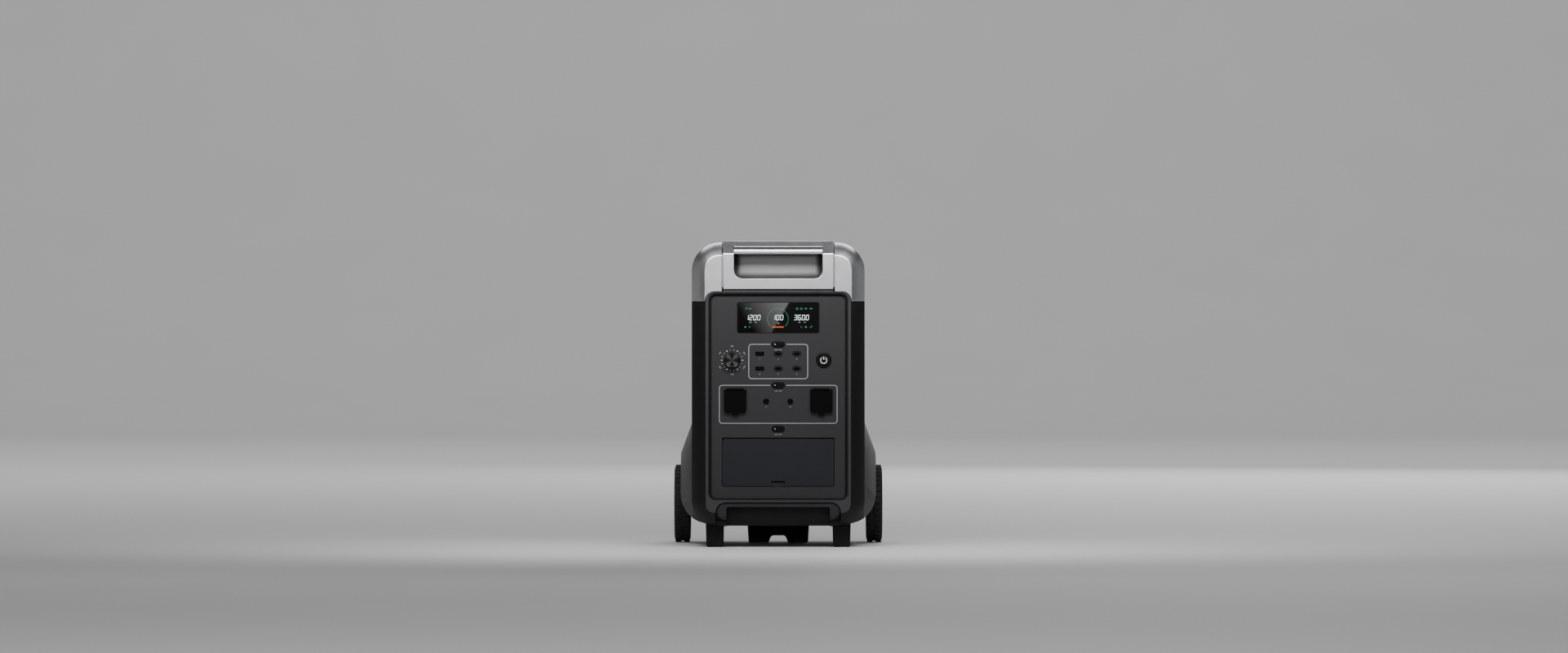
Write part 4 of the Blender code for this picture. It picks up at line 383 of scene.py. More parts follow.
def screwed(name, body, points, outward):
    """Countersunk hexagon-socket screws at points of a face, their heads to an outward direction."""
    turn = Vector(outward).to_track_quat("Z", "Y").to_euler()
    # The dark rims and sockets are painted shade, of the gap round each countersunk head and of its socket's
    # hollow.
    shapes = (
        ("rims", 1.2 * SCREW_RADIUS, 0.6 * SCREW_RISE, ROUND_SIDES, screw_hollow_shade),
        ("heads", SCREW_RADIUS, SCREW_RISE, ROUND_SIDES, zinc),
        ("sockets", HEX_RADIUS, 1.4 * SCREW_RISE, HEX_SIDES, screw_hollow_shade),
    )
    for kind, radius, height, sides, finish in shapes:
        values = {"Radius": radius, "Height": height, "Sides": sides, "Turn": tuple(turn)}
        mesh = grown(f"{name}_{kind}", points, screw_nodes, screw_sockets, values, finish)
        outfit(placed(mesh, f"{name}_{kind}"), body)


COVER_INSET = 0.008
low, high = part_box("rear_cover")
columns = (low.x + COVER_INSET, high.x - COVER_INSET)
rows = (low.z + COVER_INSET, (low.z + high.z) / 2, high.z - COVER_INSET)
screwed("cover_screws", "housing", [(x, high.y, z) for x in columns for z in rows], (0, 1, 0))


# Bezel.
# A charcoal frame clipped into the front of both shells, rounded outside, with painted shade in the groove round
# the panel.
CHARCOAL = (0.042, 0.042, 0.044, 1)
PANEL_CORNER = 0.0085
SILL_RIM = 0.0028  # by which the painted shade of the cove is narrower under the panel
COVE_SHADE = (0.0020, 0.0066)  # from the panel's edge to where the painted shade begins to lift, and to where it ends


def from_outline(tree, place, low, high, radius):
    """The distance in the front plane from a rounded rectangle between two corners, negative inside it."""
    reach = []
    for axis in "XZ":
        along = tree.add("ShaderNodeSeparateXYZ", None, {0: place}, output=axis)
        end, start = getattr(high, axis.lower()), getattr(low, axis.lower())
        reach.append(abs(along - (end + start) / 2) - ((end - start) / 2 - radius))
    outer = [tree.math("MAXIMUM", each, 0.0) for each in reach]
    inner = tree.math("MINIMUM", tree.math("MAXIMUM", *reach), 0.0)
    return (outer[0] * outer[0] + outer[1] * outer[1]) ** 0.5 + inner - radius


def eased(tree, value, start, end):
    """A smooth rise from 0 to 1 between two values."""
    ends = {"Value": value, "From Min": start, "From Max": end}
    return tree.add("ShaderNodeMapRange", {"interpolation_type": "SMOOTHSTEP"}, ends)


def bezel_shade(tree, place):
    """Painted shade for the cove along the inside of the bezel."""
    low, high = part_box("front_panel")
    low = Vector((low.x, low.y, low.z + SILL_RIM))
    return eased(tree, from_outline(tree, place, low, high, PANEL_CORNER), *COVE_SHADE)


bezel_plastic = moulded("bezel_plastic", CHARCOAL, 0.42, 1400.0, 0.000015, shine=0.2, shade=bezel_shade)
softened("front_bezel", bezel_plastic, "panel_plastic", 0.0006, 3)


# Control panel.
# One charcoal plate behind the bezel with windows for every control, and two printed frames round its sockets.
panel_plastic = moulded("panel_plastic", (0.029, 0.029, 0.031, 1), 0.52, 1500.0, 0.000012, shine=0.15)
softened("front_panel", panel_plastic, "panel_plastic", 0)
PANEL_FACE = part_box("front_panel")[0].y
PRINT_LIFT = 0.00006  # printing over the face it lies on
PRINT_DEPTH = PRINT_LIFT / 2
PRINT = (PANEL_FACE - PRINT_LIFT, PRINT_DEPTH)  # front and thickness of what is printed on the panel
PRINT_WIDTH = 0.0012
PRINT_CORNER = 0.005
FRAME_GAP = 0.0012  # bare panel at each side of a switch


def arc(u, v, radius, start, end, count):
    """Points of an arc, angles in degrees."""
    steps = [math.radians(start + (end - start) * i / count) for i in range(count + 1)]
    return [(u + radius * math.cos(a), v + radius * math.sin(a)) for a in steps]


def rounded(left, low, right, high, radius, count=6):
    """A rounded rectangle, counter-clockwise from its lower right corner."""
    return (
        arc(right - radius, low + radius, radius, -90, 0, count)
        + arc(right - radius, high - radius, radius, 0, 90, count)
        + arc(left + radius, high - radius, radius, 90, 180, count)
        + arc(left + radius, low + radius, radius, 180, 270, count)
    )


def add_plate(work, points, front, thickness):
    """A flat plate in the panel's plane, its outline in (x, z) and its front at y."""
    near = [work.verts.new((u, front, v)) for u, v in points]
    far = [work.verts.new((u, front + thickness, v)) for u, v in points]
    work.faces.new(near)
    work.faces.new(far[::-1])
    for i in range(len(points)):
        j = (i + 1) % len(points)
        work.faces.new((near[j], near[i], far[i], far[j]))


def add_ring(work, low, high, radius, width, front, thickness):
    """A flat band of a given width round the outside of a rounded rectangle."""
    loops = []
    for grow in (width, 0.0):
        ends = (low[0] - grow, low[1] - grow, high[0] + grow, high[1] + grow)
        loop = rounded(*ends, radius + grow, 10)
        loops += [[work.verts.new((u, y, v)) for u, v in loop] for y in (front, front + thickness)]
    outer, outer_back, inner, inner_back = loops
    for i in range(len(outer)):
        j = (i + 1) % len(outer)
        for a, b in ((outer, inner), (outer_back, outer), (inner, inner_back), (inner_back, outer_back)):
            work.faces.new((a[i], a[j], b[j], b[i]))


def stroke(points, width):
    """The outline of an open line of a given width."""
    left, right = [], []
    for i, point in enumerate(points):
        before = Vector(points[max(i - 1, 0)])
        after = Vector(points[min(i + 1, len(points) - 1)])
        along = (after - before).normalized()
        across = Vector((-along.y, along.x)) * width / 2
        left.append(tuple(Vector(point) + across))
        right.append(tuple(Vector(point) - across))
    return left + right[::-1]


def print_frame(work, half_width, low, high, switch):
    """A printed line round a group of sockets, left open at the sides of the switch on its upper edge."""
    gap = (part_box(switch)[1].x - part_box(switch)[0].x) / 2 + FRAME_GAP
    side, top, foot = half_width - PRINT_CORNER, high - PRINT_CORNER, low + PRINT_CORNER
    points = (
        [(gap, high)]
        + arc(side, top, PRINT_CORNER, 90, 0, 8)
        + arc(side, foot, PRINT_CORNER, 0, -90, 8)
        + arc(-side, foot, PRINT_CORNER, -90, -180, 8)
        + arc(-side, top, PRINT_CORNER, 180, 90, 8)
        + [(-gap, high)]
    )
    add_plate(work, stroke(points, PRINT_WIDTH), *PRINT)


def ink(name, colour, glow=0.0):
    """Printing ink, a little uneven, or a lit segment of a display."""
    made, tree, place = new_finish(name, roughness=0.5, specular_ior_level=0.1, emission_strength=glow)
    shade = mixed(tree, noise(tree, place, 900.0), dimmed(colour, 0.85), colour)
    plug(made, "Base Color", shade)
    if glow:
        plug(made, "Emission Color", shade)
    return made


grey_ink = ink("grey_ink", grey(0.36))
USB_FRAME = (0.0505, 0.2895, 0.3485)  # half its width, and the heights of its lower and upper edges
DC_FRAME = (0.101, 0.2131, 0.2781)
lines = bmesh.new()
print_frame(lines, *USB_FRAME, "usb_switch")
print_frame(lines, *DC_FRAME, "dc_switch")
finished(lines, "frame_lines", grey_ink, "housing")

# A dark ring along the inside of the panel's edge is painted shade of the groove between panel and bezel.
EDGE_SHADE_WIDTH = 0.0016
panel_low, panel_high = (Vector((point.x, point.z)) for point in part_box("front_panel"))
inset = Vector((EDGE_SHADE_WIDTH, EDGE_SHADE_WIDTH))
edge_shade_ring = bmesh.new()
add_ring(edge_shade_ring, panel_low + inset, panel_high - inset, PANEL_CORNER - EDGE_SHADE_WIDTH, EDGE_SHADE_WIDTH, *PRINT)
edge_shade_black = moulded("edge_shade_black", grey(0.0015), 0.85, 900.0, 0.00002)
finished(edge_shade_ring, "panel_gasket", edge_shade_black, "housing", "black_rubber")


# Display.
# A smoked glass lens flush in the panel over a lit module, whose figures and symbols shine through the glass.
dark_glass, glass_tree, glass_place = new_finish("dark_glass", coat_weight=0.5, coat_roughness=0.0)
plug(dark_glass, "Base Color", mixed(glass_tree, noise(glass_tree, glass_place, 20.0), grey(0.003), grey(0.005)))
plug(dark_glass, "Roughness", 0.004 + 0.012 * noise(glass_tree, glass_place, 120.0, 4.0))
softened("display_lens", dark_glass, "dark_glass", 0.0002)
softened("display_module", moulded("module_plastic", grey(0.02), 0.6), "black_plastic", 0.0002)
LENS_LOW, LENS_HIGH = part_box("display_lens")
LENS_Z = (LENS_LOW.z + LENS_HIGH.z) / 2
LENS_EDGE_SHADE = (0.0030, 0.0016)  # corner and width of the painted shade round the lens, in the window's bevelled edge
lens_frame = bmesh.new()
lens_ends = ((LENS_LOW.x, LENS_LOW.z), (LENS_HIGH.x, LENS_HIGH.z))
add_ring(lens_frame, *lens_ends, *LENS_EDGE_SHADE, *PRINT)
finished(lens_frame, "lens_frame", edge_shade_black, "housing")
GLOW = (LENS_LOW.y - 0.00004, 0.00003)  # front and thickness of what shines on the lens
SLANT = 0.10  # of the figures, to the right for each unit of height
SEGMENT_GAP = 0.15  # of a bar's width, at the ends of a segment
SEGMENTS = {
    "0": "abcdef",
    "1": "bc",
    "2": "abged",
    "3": "abgcd",
    "4": "fgbc",
    "5": "afgcd",
    "6": "afgedc",
    "7": "abc",
    "8": "abcdefg",
    "9": "abcdfg",
}


def add_digit(work, figure, x, z, width, height, bar):
    """A seven-segment figure with its lower left corner at (x, z)."""
    w, h, g = width, height, bar * SEGMENT_GAP
    half = h / 2
    bars = {
        "a": ((g, h), (w - g, h)),
        "g": ((g, half), (w - g, half)),
        "d": ((g, 0), (w - g, 0)),
        "f": ((0, half + g), (0, h - g)),
        "b": ((w, half + g), (w, h - g)),
        "e": ((0, g), (0, half - g)),
        "c": ((w, g), (w, half - g)),
    }
    for letter in SEGMENTS[figure]:
        (x0, z0), (x1, z1) = bars[letter]
        line = [(x + x0 + SLANT * z0, z + z0), (x + x1 + SLANT * z1, z + z1)]
        add_plate(work, stroke(line, bar), *GLOW)


def add_number(work, text, x, z, width, height, bar, pitch):
    """A row of figures centred on x."""
    left = x - (pitch * (len(text) - 1) + width) / 2
    for i, figure in enumerate(text):
        add_digit(work, figure, left + i * pitch, z, width, height, bar)


FIGURE = (0.0043, 0.0082, 0.0008, 0.0067)  # width, height, bar and pitch
FIGURE_Z = LENS_Z - 0.0038
NOTE = (0.0012, 0.0021, 0.0003, 0.0019)
NOTE_Z, LOW_NOTE_Z = LENS_Z - 0.0088, LENS_Z - 0.0108
GLOW_POWER = 0.6
figures, notes = bmesh.new(), bmesh.new()
for text, x in (("1200", -0.0437), ("100", -0.0012), ("3600", 0.0395)):
    add_number(figures, text, x, FIGURE_Z, *FIGURE)
for text, x, z in (
    ("120", -0.0485, NOTE_Z),
    ("60", -0.0385, NOTE_Z),
    ("99", 0.0, LOW_NOTE_Z),
    ("120", 0.0355, NOTE_Z),
    ("60", 0.0455, NOTE_Z),
):
    add_number(notes, text, x, z, *NOTE)
finished(figures, "display_figures", ink("figure_light", (0.80, 0.86, 0.95, 1), GLOW_POWER), "housing")
finished(notes, "display_notes", ink("note_light", (0.20, 0.22, 0.25, 1), GLOW_POWER), "housing")

GAUGE = (-0.0006, LENS_Z - 0.0021, 0.0178)  # middle and radius
GAUGE_START, GAUGE_SWEEP = 225, 270  # degrees
GAUGE_BARS = 30
GAUGE_BAR = 5.2  # degrees
GAUGE_WIDTH = 0.0010
gauge = bmesh.new()
for step in range(GAUGE_BARS):
    start = GAUGE_START - step * (GAUGE_SWEEP - GAUGE_BAR) / (GAUGE_BARS - 1)
    add_plate(gauge, stroke(arc(*GAUGE, start, start - GAUGE_BAR, 3), GAUGE_WIDTH), *GLOW)

SYMBOL_TOP, SYMBOL_LOW = LENS_Z + 0.0156, LENS_Z - 0.0160
SYMBOL_LINE = 0.0007


def add_symbol(work, kind, x, z):
    """A small plain symbol: a plug, a bar, a ring, a bolt or a square."""
    if kind == "plug":
        add_plate(work, stroke([(x - 0.0016, z - 0.0016), (x + 0.0006, z + 0.0006)], SYMBOL_LINE), *GLOW)
        add_plate(work, arc(x + 0.0009, z + 0.0009, 0.0011, 0, 330, 11), *GLOW)
    elif kind == "bar":
        add_plate(work, rounded(x - 0.0024, z - 0.0008, x + 0.0024, z + 0.0008, 0.0007, 3), *GLOW)
    elif kind == "ring":
        add_plate(work, stroke(arc(x, z, 0.0016, 80, 415, 16), SYMBOL_LINE), *GLOW)
    elif kind == "bolt":
        points = [(-4, -1), (1, 0), (0, -6), (4, 1), (-1, 0), (0, 6)]
        add_plate(work, [(x + u * 0.0004, z + v * 0.0004) for u, v in points], *GLOW)
    else:
        add_plate(work, rounded(x - 0.0013, z - 0.0013, x + 0.0013, z + 0.0013, 0.0006, 3), *GLOW)


for kind, x, z in (
    ("plug", -0.0552, SYMBOL_TOP),
    ("bar", -0.0483, SYMBOL_TOP),
    ("square", -0.0564, SYMBOL_LOW),
    ("bolt", -0.0489, SYMBOL_LOW),
    ("ring", 0.0323, SYMBOL_TOP),
    ("ring", 0.0395, SYMBOL_TOP),
    ("bar", 0.0473, SYMBOL_TOP),
    ("bar", 0.0561, SYMBOL_TOP),
    ("bolt", 0.0396, SYMBOL_LOW),
    ("square", 0.0473, SYMBOL_LOW),
    ("plug", 0.0561, SYMBOL_LOW),
):
    add_symbol(gauge, kind, x, z)
finished(gauge, "display_gauge", ink("green_light", (0.012, 0.20, 0.10, 1), GLOW_POWER), "housing")

BAR_MARK = (-0.0110, LENS_Z - 0.0168, 0.0096, LENS_Z - 0.0151)  # left, lower, right and upper edge
bar_mark = bmesh.new()
add_plate(bar_mark, rounded(*BAR_MARK, 0.0008, 3), *GLOW)
finished(bar_mark, "display_bar", ink("amber_light", (0.62, 0.09, 0.012, 1), GLOW_POWER), "housing")


# USB ports.
# Six sockets on one board behind the panel, their black mouths in its windows. Rings are printed round the four
# smaller ones, and round the two barrel jacks below.
softened("usb_board", gloss_black, "gloss_black", 0)
USB_COLUMNS = (-0.0317, 0.0, 0.0317)
USB_ROWS = (0.3321, 0.3066)
JACKS = ((-0.02065, 0.2501), (0.02065, 0.2501))
PORT_RING = (0.0068, 0.0035, 0.0012)  # half its opening each way, and its width
JACK_RING = (0.0046, 0.0046, 0.0009)
SLIVER = 0.00001  # of straight side left between two corners
small_ports = [(x, z) for x in USB_COLUMNS[1:] for z in USB_ROWS]
rings = bmesh.new()
for spots, (half, rise, width) in ((small_ports, PORT_RING), (JACKS, JACK_RING)):
    for x, z in spots:
        add_ring(rings, (x - half, z - rise), (x + half, z + rise), rise - SLIVER, width, *PRINT)
finished(rings, "port_rings", ink("black_ink", grey(0.002)), "housing")


# Dial, power button and pill switches.
# A spun aluminium knob on a rotary switch, a round glossy power button and three pill switches of gloss plastic.
spun_metal, spun_tree, spun_place = new_finish("spun_metal", metallic=1.0)
knob_low, knob_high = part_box("dial_knob")
KNOB = (knob_low + knob_high) / 2
from_hub = spun_tree.add(
    "ShaderNodeVectorMath", {"operation": "SUBTRACT"}, {0: spun_place, 1: (KNOB.x, KNOB.y, KNOB.z)}
)
across = spun_tree.add("ShaderNodeSeparateXYZ", None, {0: from_hub}, output="X")
upward = spun_tree.add("ShaderNodeSeparateXYZ", None, {0: from_hub}, output="Z")
turn = spun_tree.math("ARCTAN2", upward, across)
# An X of bright wedges across the knob's face is painted highlight of its spun finish; the ring noise is the
# grooves' own grain.
painted_highlight = abs(spun_tree.math("SINE", turn * 2.0)) ** 4.0
GROOVES = 9000.0  # of the lathe, each metre
grooves = noise(spun_tree, (across * across + upward * upward) ** 0.5 * GROOVES, 1.0)
plug(spun_metal, "Base Color", mixed(spun_tree, painted_highlight * 0.8 + 0.2 * grooves, grey(0.006), grey(0.13)))
plug(spun_metal, "Roughness", 0.30 + 0.15 * grooves)
softened("dial_knob", spun_metal, "polished_aluminium", 0.0004, 3)
softened("dial_switch", black_plastic, "black_plastic", 0.0002)
softened("power_button", gloss_black, "gloss_black", 0)
SWITCHES = {"usb_switch": "usb_key", "dc_switch": "dc_key", "ac_switch": "ac_key"}  # and their bodies
for switch in SWITCHES:
    softened(switch, gloss_black, "gloss_black", 0)

ring_nodes, ring_sockets, add = node_group(
    "ring_of_pieces",
    (
        ("Piece", "NodeSocketObject"),
        ("Finish", "NodeSocketMaterial"),
        ("Count", "NodeSocketInt"),
        ("Radius", "NodeSocketFloat"),
        ("Large Every", "NodeSocketInt"),
        ("Small Size", "NodeSocketFloat"),
    ),
)
add("circle", "GeometryNodeMeshCircle", (("Vertices", ("in", "Count")), ("Radius", ("in", "Radius"))))
add("index", "GeometryNodeInputIndex")
add("step", "ShaderNodeMath", ((0, ("index", 0)), (1, ("in", "Large Every"))), operation="MODULO")
add("small", "ShaderNodeMath", ((0, ("step", 0)),), operation="GREATER_THAN").inputs[1].default_value = 0.5
size_links = (("Switch", ("small", 0)), ("True", ("in", "Small Size")))
add("scale", "GeometryNodeSwitch", size_links, input_type="FLOAT").inputs["False"].default_value = 1.0
add("place", "GeometryNodeInputPosition")
add("parts", "ShaderNodeSeparateXYZ", ((0, ("place", 0)),))
add("angle", "ShaderNodeMath", ((0, ("parts", 1)), (1, ("parts", 0))), operation="ARCTAN2")
add("euler", "ShaderNodeCombineXYZ", (("Z", ("angle", 0)),))
add("turn", "FunctionNodeEulerToRotation", ((0, ("euler", 0)),))
add("piece", "GeometryNodeObjectInfo", (("Object", ("in", "Piece")),))
add(
    "copies",
    "GeometryNodeInstanceOnPoints",
    (
        ("Points", ("circle", 0)),
        ("Instance", ("piece", "Geometry")),
        ("Rotation", ("turn", 0)),
        ("Scale", ("scale", 0)),
    ),
)
add("real", "GeometryNodeRealizeInstances", ((0, ("copies", 0)),))
add("painted", "GeometryNodeSetMaterial", (("Geometry", ("real", 0)), ("Material", ("in", "Finish"))))
add("out", "NodeGroupOutput", ((0, ("painted", 0)),))


def ring_of(name, piece_mesh, finish, count, radius, place, large_every=1, small_size=1.0):
    """Copies of a mesh round a circle, as one plain mesh moved to its place by a matrix."""
    piece = bpy.data.objects.new(name + "_piece", piece_mesh)
    bpy.context.scene.collection.objects.link(piece)
    values = {
        "Piece": piece,
        "Count": count,
        "Radius": radius,
        "Large Every": large_every,
        "Small Size": small_size,
    }
    mesh = grown(name, [(0, 0, 0)], ring_nodes, ring_sockets, values, finish)
    bpy.data.objects.remove(piece)
    mesh.transform(place)
    return placed(mesh, name)


DOT_RING = 0.0179
DOT_COUNT = 18
LARGE_EVERY = 3
DOT_RADIUS = 0.0010
SMALL_DOT = 0.55  # of the large one
white_ink = ink("white_ink", grey(0.75))
dot = bmesh.new()
dot_sizes = {"radius1": DOT_RADIUS, "radius2": DOT_RADIUS, "depth": PRINT_DEPTH}
bmesh.ops.create_cone(dot, cap_ends=True, segments=12, **dot_sizes)
dial_middle = Matrix.Translation((KNOB.x, PANEL_FACE - PRINT_LIFT, KNOB.z))
dial_dots = ring_of(
    "dial_dots",
    from_work(dot, "dial_dot"),
    white_ink,
    DOT_COUNT,
    DOT_RING,
    dial_middle @ FACING_FRONT,
    LARGE_EVERY,
    SMALL_DOT,
)
outfit(dial_dots, "housing")


def lettered(name, text, height, x, z, turn=0.0):
    """Printed characters, centred on a place of the panel and turned about it."""
    curve = bpy.data.curves.new(name, "FONT")
    curve.body = text
    curve.size = height
    curve.align_x = "CENTER"
    curve.align_y = "CENTER"
    curve.resolution_u = 3
    holder = bpy.data.objects.new(name, curve)
    bpy.context.scene.collection.objects.link(holder)
    bpy.context.view_layer.update()
    mesh = bpy.data.meshes.new_from_object(holder.evaluated_get(bpy.context.evaluated_depsgraph_get()))
    bpy.data.objects.remove(holder)
    turned = Matrix.Rotation(-turn, 4, "Y")
    mesh.transform(Matrix.Translation((x, PANEL_FACE - PRINT_LIFT, z)) @ turned @ FACING_FRONT)
    mesh.materials.clear()
    return outfit(placed(mesh, name, grey_ink), "housing")


DIAL_NUMBERS = ("200", "400", "600", "800", "1000", "1200")
DIAL_START, DIAL_STEP = 210, 60  # degrees, clockwise
LABEL_RING = 0.0240
DIAL_LABEL = 0.0034  # height
for i, text in enumerate(DIAL_NUMBERS):
    a = math.radians(DIAL_START - DIAL_STEP * i)
    tilt = a - math.pi / 2 if math.sin(a) > 0 else a + math.pi / 2
    x, z = KNOB.x + LABEL_RING * math.cos(a), KNOB.z + LABEL_RING * math.sin(a)
    lettered(f"dial_label_{text}", text, DIAL_LABEL, x, z, tilt)

SWITCH_LABEL, SWITCH_LABEL_DROP = 0.0030, 0.0034
SWITCH_DOT = 0.0008  # radius
SWITCH_DOT_LEFT = 0.0056  # of the switch's middle
for switch, body in SWITCHES.items():
    low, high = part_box(switch)
    middle = (low + high) / 2
    lettered(switch + "_label", "ON / OFF", SWITCH_LABEL, middle.x, low.z - SWITCH_LABEL_DROP)
    dot = bmesh.new()
    outline = arc(middle.x - SWITCH_DOT_LEFT, middle.z, SWITCH_DOT, 0, 337.5, 15)
    add_plate(dot, outline, low.y - PRINT_LIFT, PRINT_DEPTH)
    finished(dot, switch + "_dot", white_ink, body)

PORT_LABEL, PORT_LABEL_DROP = 0.0038, 0.0092
ports = [(x, z) for z in USB_ROWS for x in USB_COLUMNS] + list(JACKS)
for number, (x, z) in enumerate(ports, 1):
    lettered(f"port_number_{number}", str(number), PORT_LABEL, x, z - PORT_LABEL_DROP)

ICON_RADIUS = 0.0054
ICON_LINE = 0.0013
ICON_GAP = (122, 418)  # degrees, the ends of the open ring
ICON_FOOT, ICON_RISE = 0.0008, 0.0010  # of its upright, over the middle and over the ring
power_low, power_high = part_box("power_button")
POWER = (power_low + power_high) / 2
upright = [(POWER.x, POWER.z + ICON_FOOT), (POWER.x, POWER.z + ICON_RADIUS + ICON_RISE)]
icon = bmesh.new()
for line in (arc(POWER.x, POWER.z, ICON_RADIUS, *ICON_GAP, 28), upright):
    add_plate(icon, stroke(line, ICON_LINE), power_low.y - PRINT_LIFT, PRINT_DEPTH)
finished(icon, "power_icon", white_ink, "power_key")


# Direct-current sockets.
# Two car sockets under hinged rubber flaps, and two barrel jacks on a board of their own.
black_rubber = moulded("black_rubber", (0.0024, 0.0024, 0.0026, 1), 0.66, 800.0, 0.00003, shine=0.05)
for side in ("left", "right"):
    softened("socket_flap_" + side, black_rubber, "black_rubber", 0.0006, 3)
    softened("car_socket_" + side, gloss_black, "gloss_black", 0.0003)
softened("dc_board", gloss_black, "gloss_black", 0)
PIN_RADIUS = 0.0008
PIN_LENGTH = 0.006
PIN_DEPTH = 0.0004  # of its tip behind the panel's face
pins = bmesh.new()
for x, z in JACKS:
    add_pin(pins, (x, PANEL_FACE + PIN_DEPTH + PIN_LENGTH / 2, z), PIN_RADIUS, PIN_LENGTH)
finished(pins, "jack_pins", brushed_steel, "housing", "brushed_steel")


# AC outlet bay.
# A hinged door of charcoal plastic with a sliding latch in its lower edge, over a tray with two outlet pairs.
DOOR_COLOUR = (0.017, 0.018, 0.021, 1)
DOOR_SIDE = 0.0965  # from the middle to the door's edge, inside the ends of its hinge pin
DOOR_CORNER = 0.005
DOOR_SHADE = (0.0004, 0.0016)  # from its edge to where the painted shade begins to lift, and to where it ends


def inner_shade(tree, place, low, high, radius, ends):
    """Painted shade along the inside of a rounded rectangle, which lifts between two distances from its edge."""
    return eased(tree, 0.0 - from_outline(tree, place, low, high, radius), *ends)


def door_shade(tree, place):
    """Painted shade along the rounded edge of the door, for the shade of its gap."""
    low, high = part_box("ac_door")
    low, high = Vector((-DOOR_SIDE, 0, low.z)), Vector((DOOR_SIDE, 0, high.z))
    return inner_shade(tree, place, low, high, DOOR_CORNER, DOOR_SHADE)


door_plastic = moulded("door_plastic", DOOR_COLOUR, 0.50, depth=0.000012, shine=0.15, shade=door_shade)
softened("ac_door", door_plastic, "panel_plastic", 0.0004, 3)
latch_plastic = moulded("latch_plastic", DOOR_COLOUR, 0.50, depth=0.000012, shine=0.15)
softened("door_latch", latch_plastic, "panel_plastic", 0.0003)
softened("outlet_tray", black_plastic, "black_plastic", 0.0003)
for side in ("left", "right"):
    softened("outlet_pair_" + side, gloss_black, "gloss_black", 0)


# Pull handle.
# A silver moulding let into the top, and in it a grip with a polished bar on two telescopic tubes of aluminium.
housing_skin = softened("handle_housing", silver_plastic, "silver_plastic", 0.0005, 3)
POCKET_FLOOR = 0.4609
POCKET_CORNER = 0.012
POCKET_SHADE = (0.004, 0.014)
POCKET_LEAST = 0.12  # of the light, where the painted shade is deepest
POCKET_BACK = 0.03  # from the back of the grip's bar to behind the pocket's back wall
POCKET_MARGIN = 0.001
FRONT_MARGIN = 0.0002
bar_low, bar_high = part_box("grip_bar")


def pocket_shade(tree, place):
    """Painted shade at the rounded foot of the pocket's walls."""
    low = Vector((bar_low.x, 0, POCKET_FLOOR))
    lit = inner_shade(tree, place, low, bar_high, POCKET_CORNER, POCKET_SHADE)
    return POCKET_LEAST + (1 - POCKET_LEAST) * lit


# The pocket's faces get a darker grey than the silver, painted shade of the recess, and more at the foot of its
# walls.
pocket_shade_grey = moulded("pocket_painted_shade", grey(0.35), 0.45, depth=0.00001, metallic=0.3, shade=pocket_shade)
housing_skin.data.materials.append(pocket_shade_grey)
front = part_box("handle_housing")[0].y + FRONT_MARGIN
for face in housing_skin.data.polygons:
    between = bar_low.x - POCKET_MARGIN < face.center.x < bar_high.x + POCKET_MARGIN
    if between and front < face.center.y < bar_high.y + POCKET_BACK:
        face.material_index = 1
polished_aluminium = drawn_metal("polished_aluminium", (60, 700, 700), 0.90, 0.97, 0.26, 0.10)
softened("grip_bar", polished_aluminium, "polished_aluminium", 0.0005, 3)
softened("grip_core", black_plastic, "black_plastic", 0.0003)
softened("grip_cover", silver_plastic, "silver_plastic", 0.0004, 3)
for side in ("left", "right"):
    softened("outer_tube_" + side, brushed_steel, "brushed_steel", 0.0002)
    softened("middle_tube_" + side, polished_aluminium, "polished_aluminium", 0.0002)
    softened("inner_tube_" + side, polished_aluminium, "polished_aluminium", 0.0002)


# Base.
# A charcoal arch round the hand hold under the bezel, two front feet and a middle skid, all screwed to the shell.
ARCH_COLOUR = (0.026, 0.026, 0.028, 1)
ARCH_CORNER = 0.017
ARCH_SHADE = (0.0010, 0.0034)


def arch_shade(tree, place):
    """Painted shade along the outer edge of the arch, for its groove in the shell, and at the feet of its legs."""
    return inner_shade(tree, place, *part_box("base_arch"), ARCH_CORNER, ARCH_SHADE)


arch_plastic = moulded("arch_plastic", ARCH_COLOUR, 0.48, 1400.0, 0.000015, shine=0.15, shade=arch_shade)
softened("base_arch", arch_plastic, "panel_plastic", 0.0006, 3)
foot_rubber = moulded("foot_rubber", (0.0050, 0.0050, 0.0052, 1), 0.64, 700.0, 0.00004, shine=0.18)
for piece in ("front_foot_left", "front_foot_right", "centre_skid"):
    softened(piece, foot_rubber, "black_rubber", 0.0006, 3)


# Wheels.
# Two moulded hubs with rubber tyres on one steel axle, half covered by dark silver fenders.
tyre_rubber = moulded("tyre_rubber", (0.010, 0.010, 0.010, 1), 0.72, 500.0, 0.00005)
hub_plastic = moulded("hub_plastic", (0.045, 0.045, 0.048, 1), 0.42, 1200.0, 0.00002)
fender_plastic = moulded("fender_plastic", (0.088, 0.0895, 0.0915, 1), 0.40, 1900.0, 0.000006, metallic=1.0)
LUG_COUNT = 40
LUG_DEPTH = 0.0016
LUG_SIZE = (0.0052, 0.0096)  # round the tyre and across it
LUG_ROWS = (-0.0075, 0.0075)  # from the middle of the tread
LUG_ROUND = 0.0005
LUG_SEAT = 1.05 * LUG_DEPTH  # from the tread to the lugs' middles
TREAD_BAND = 0.0008  # points this near the rim belong to the running surface


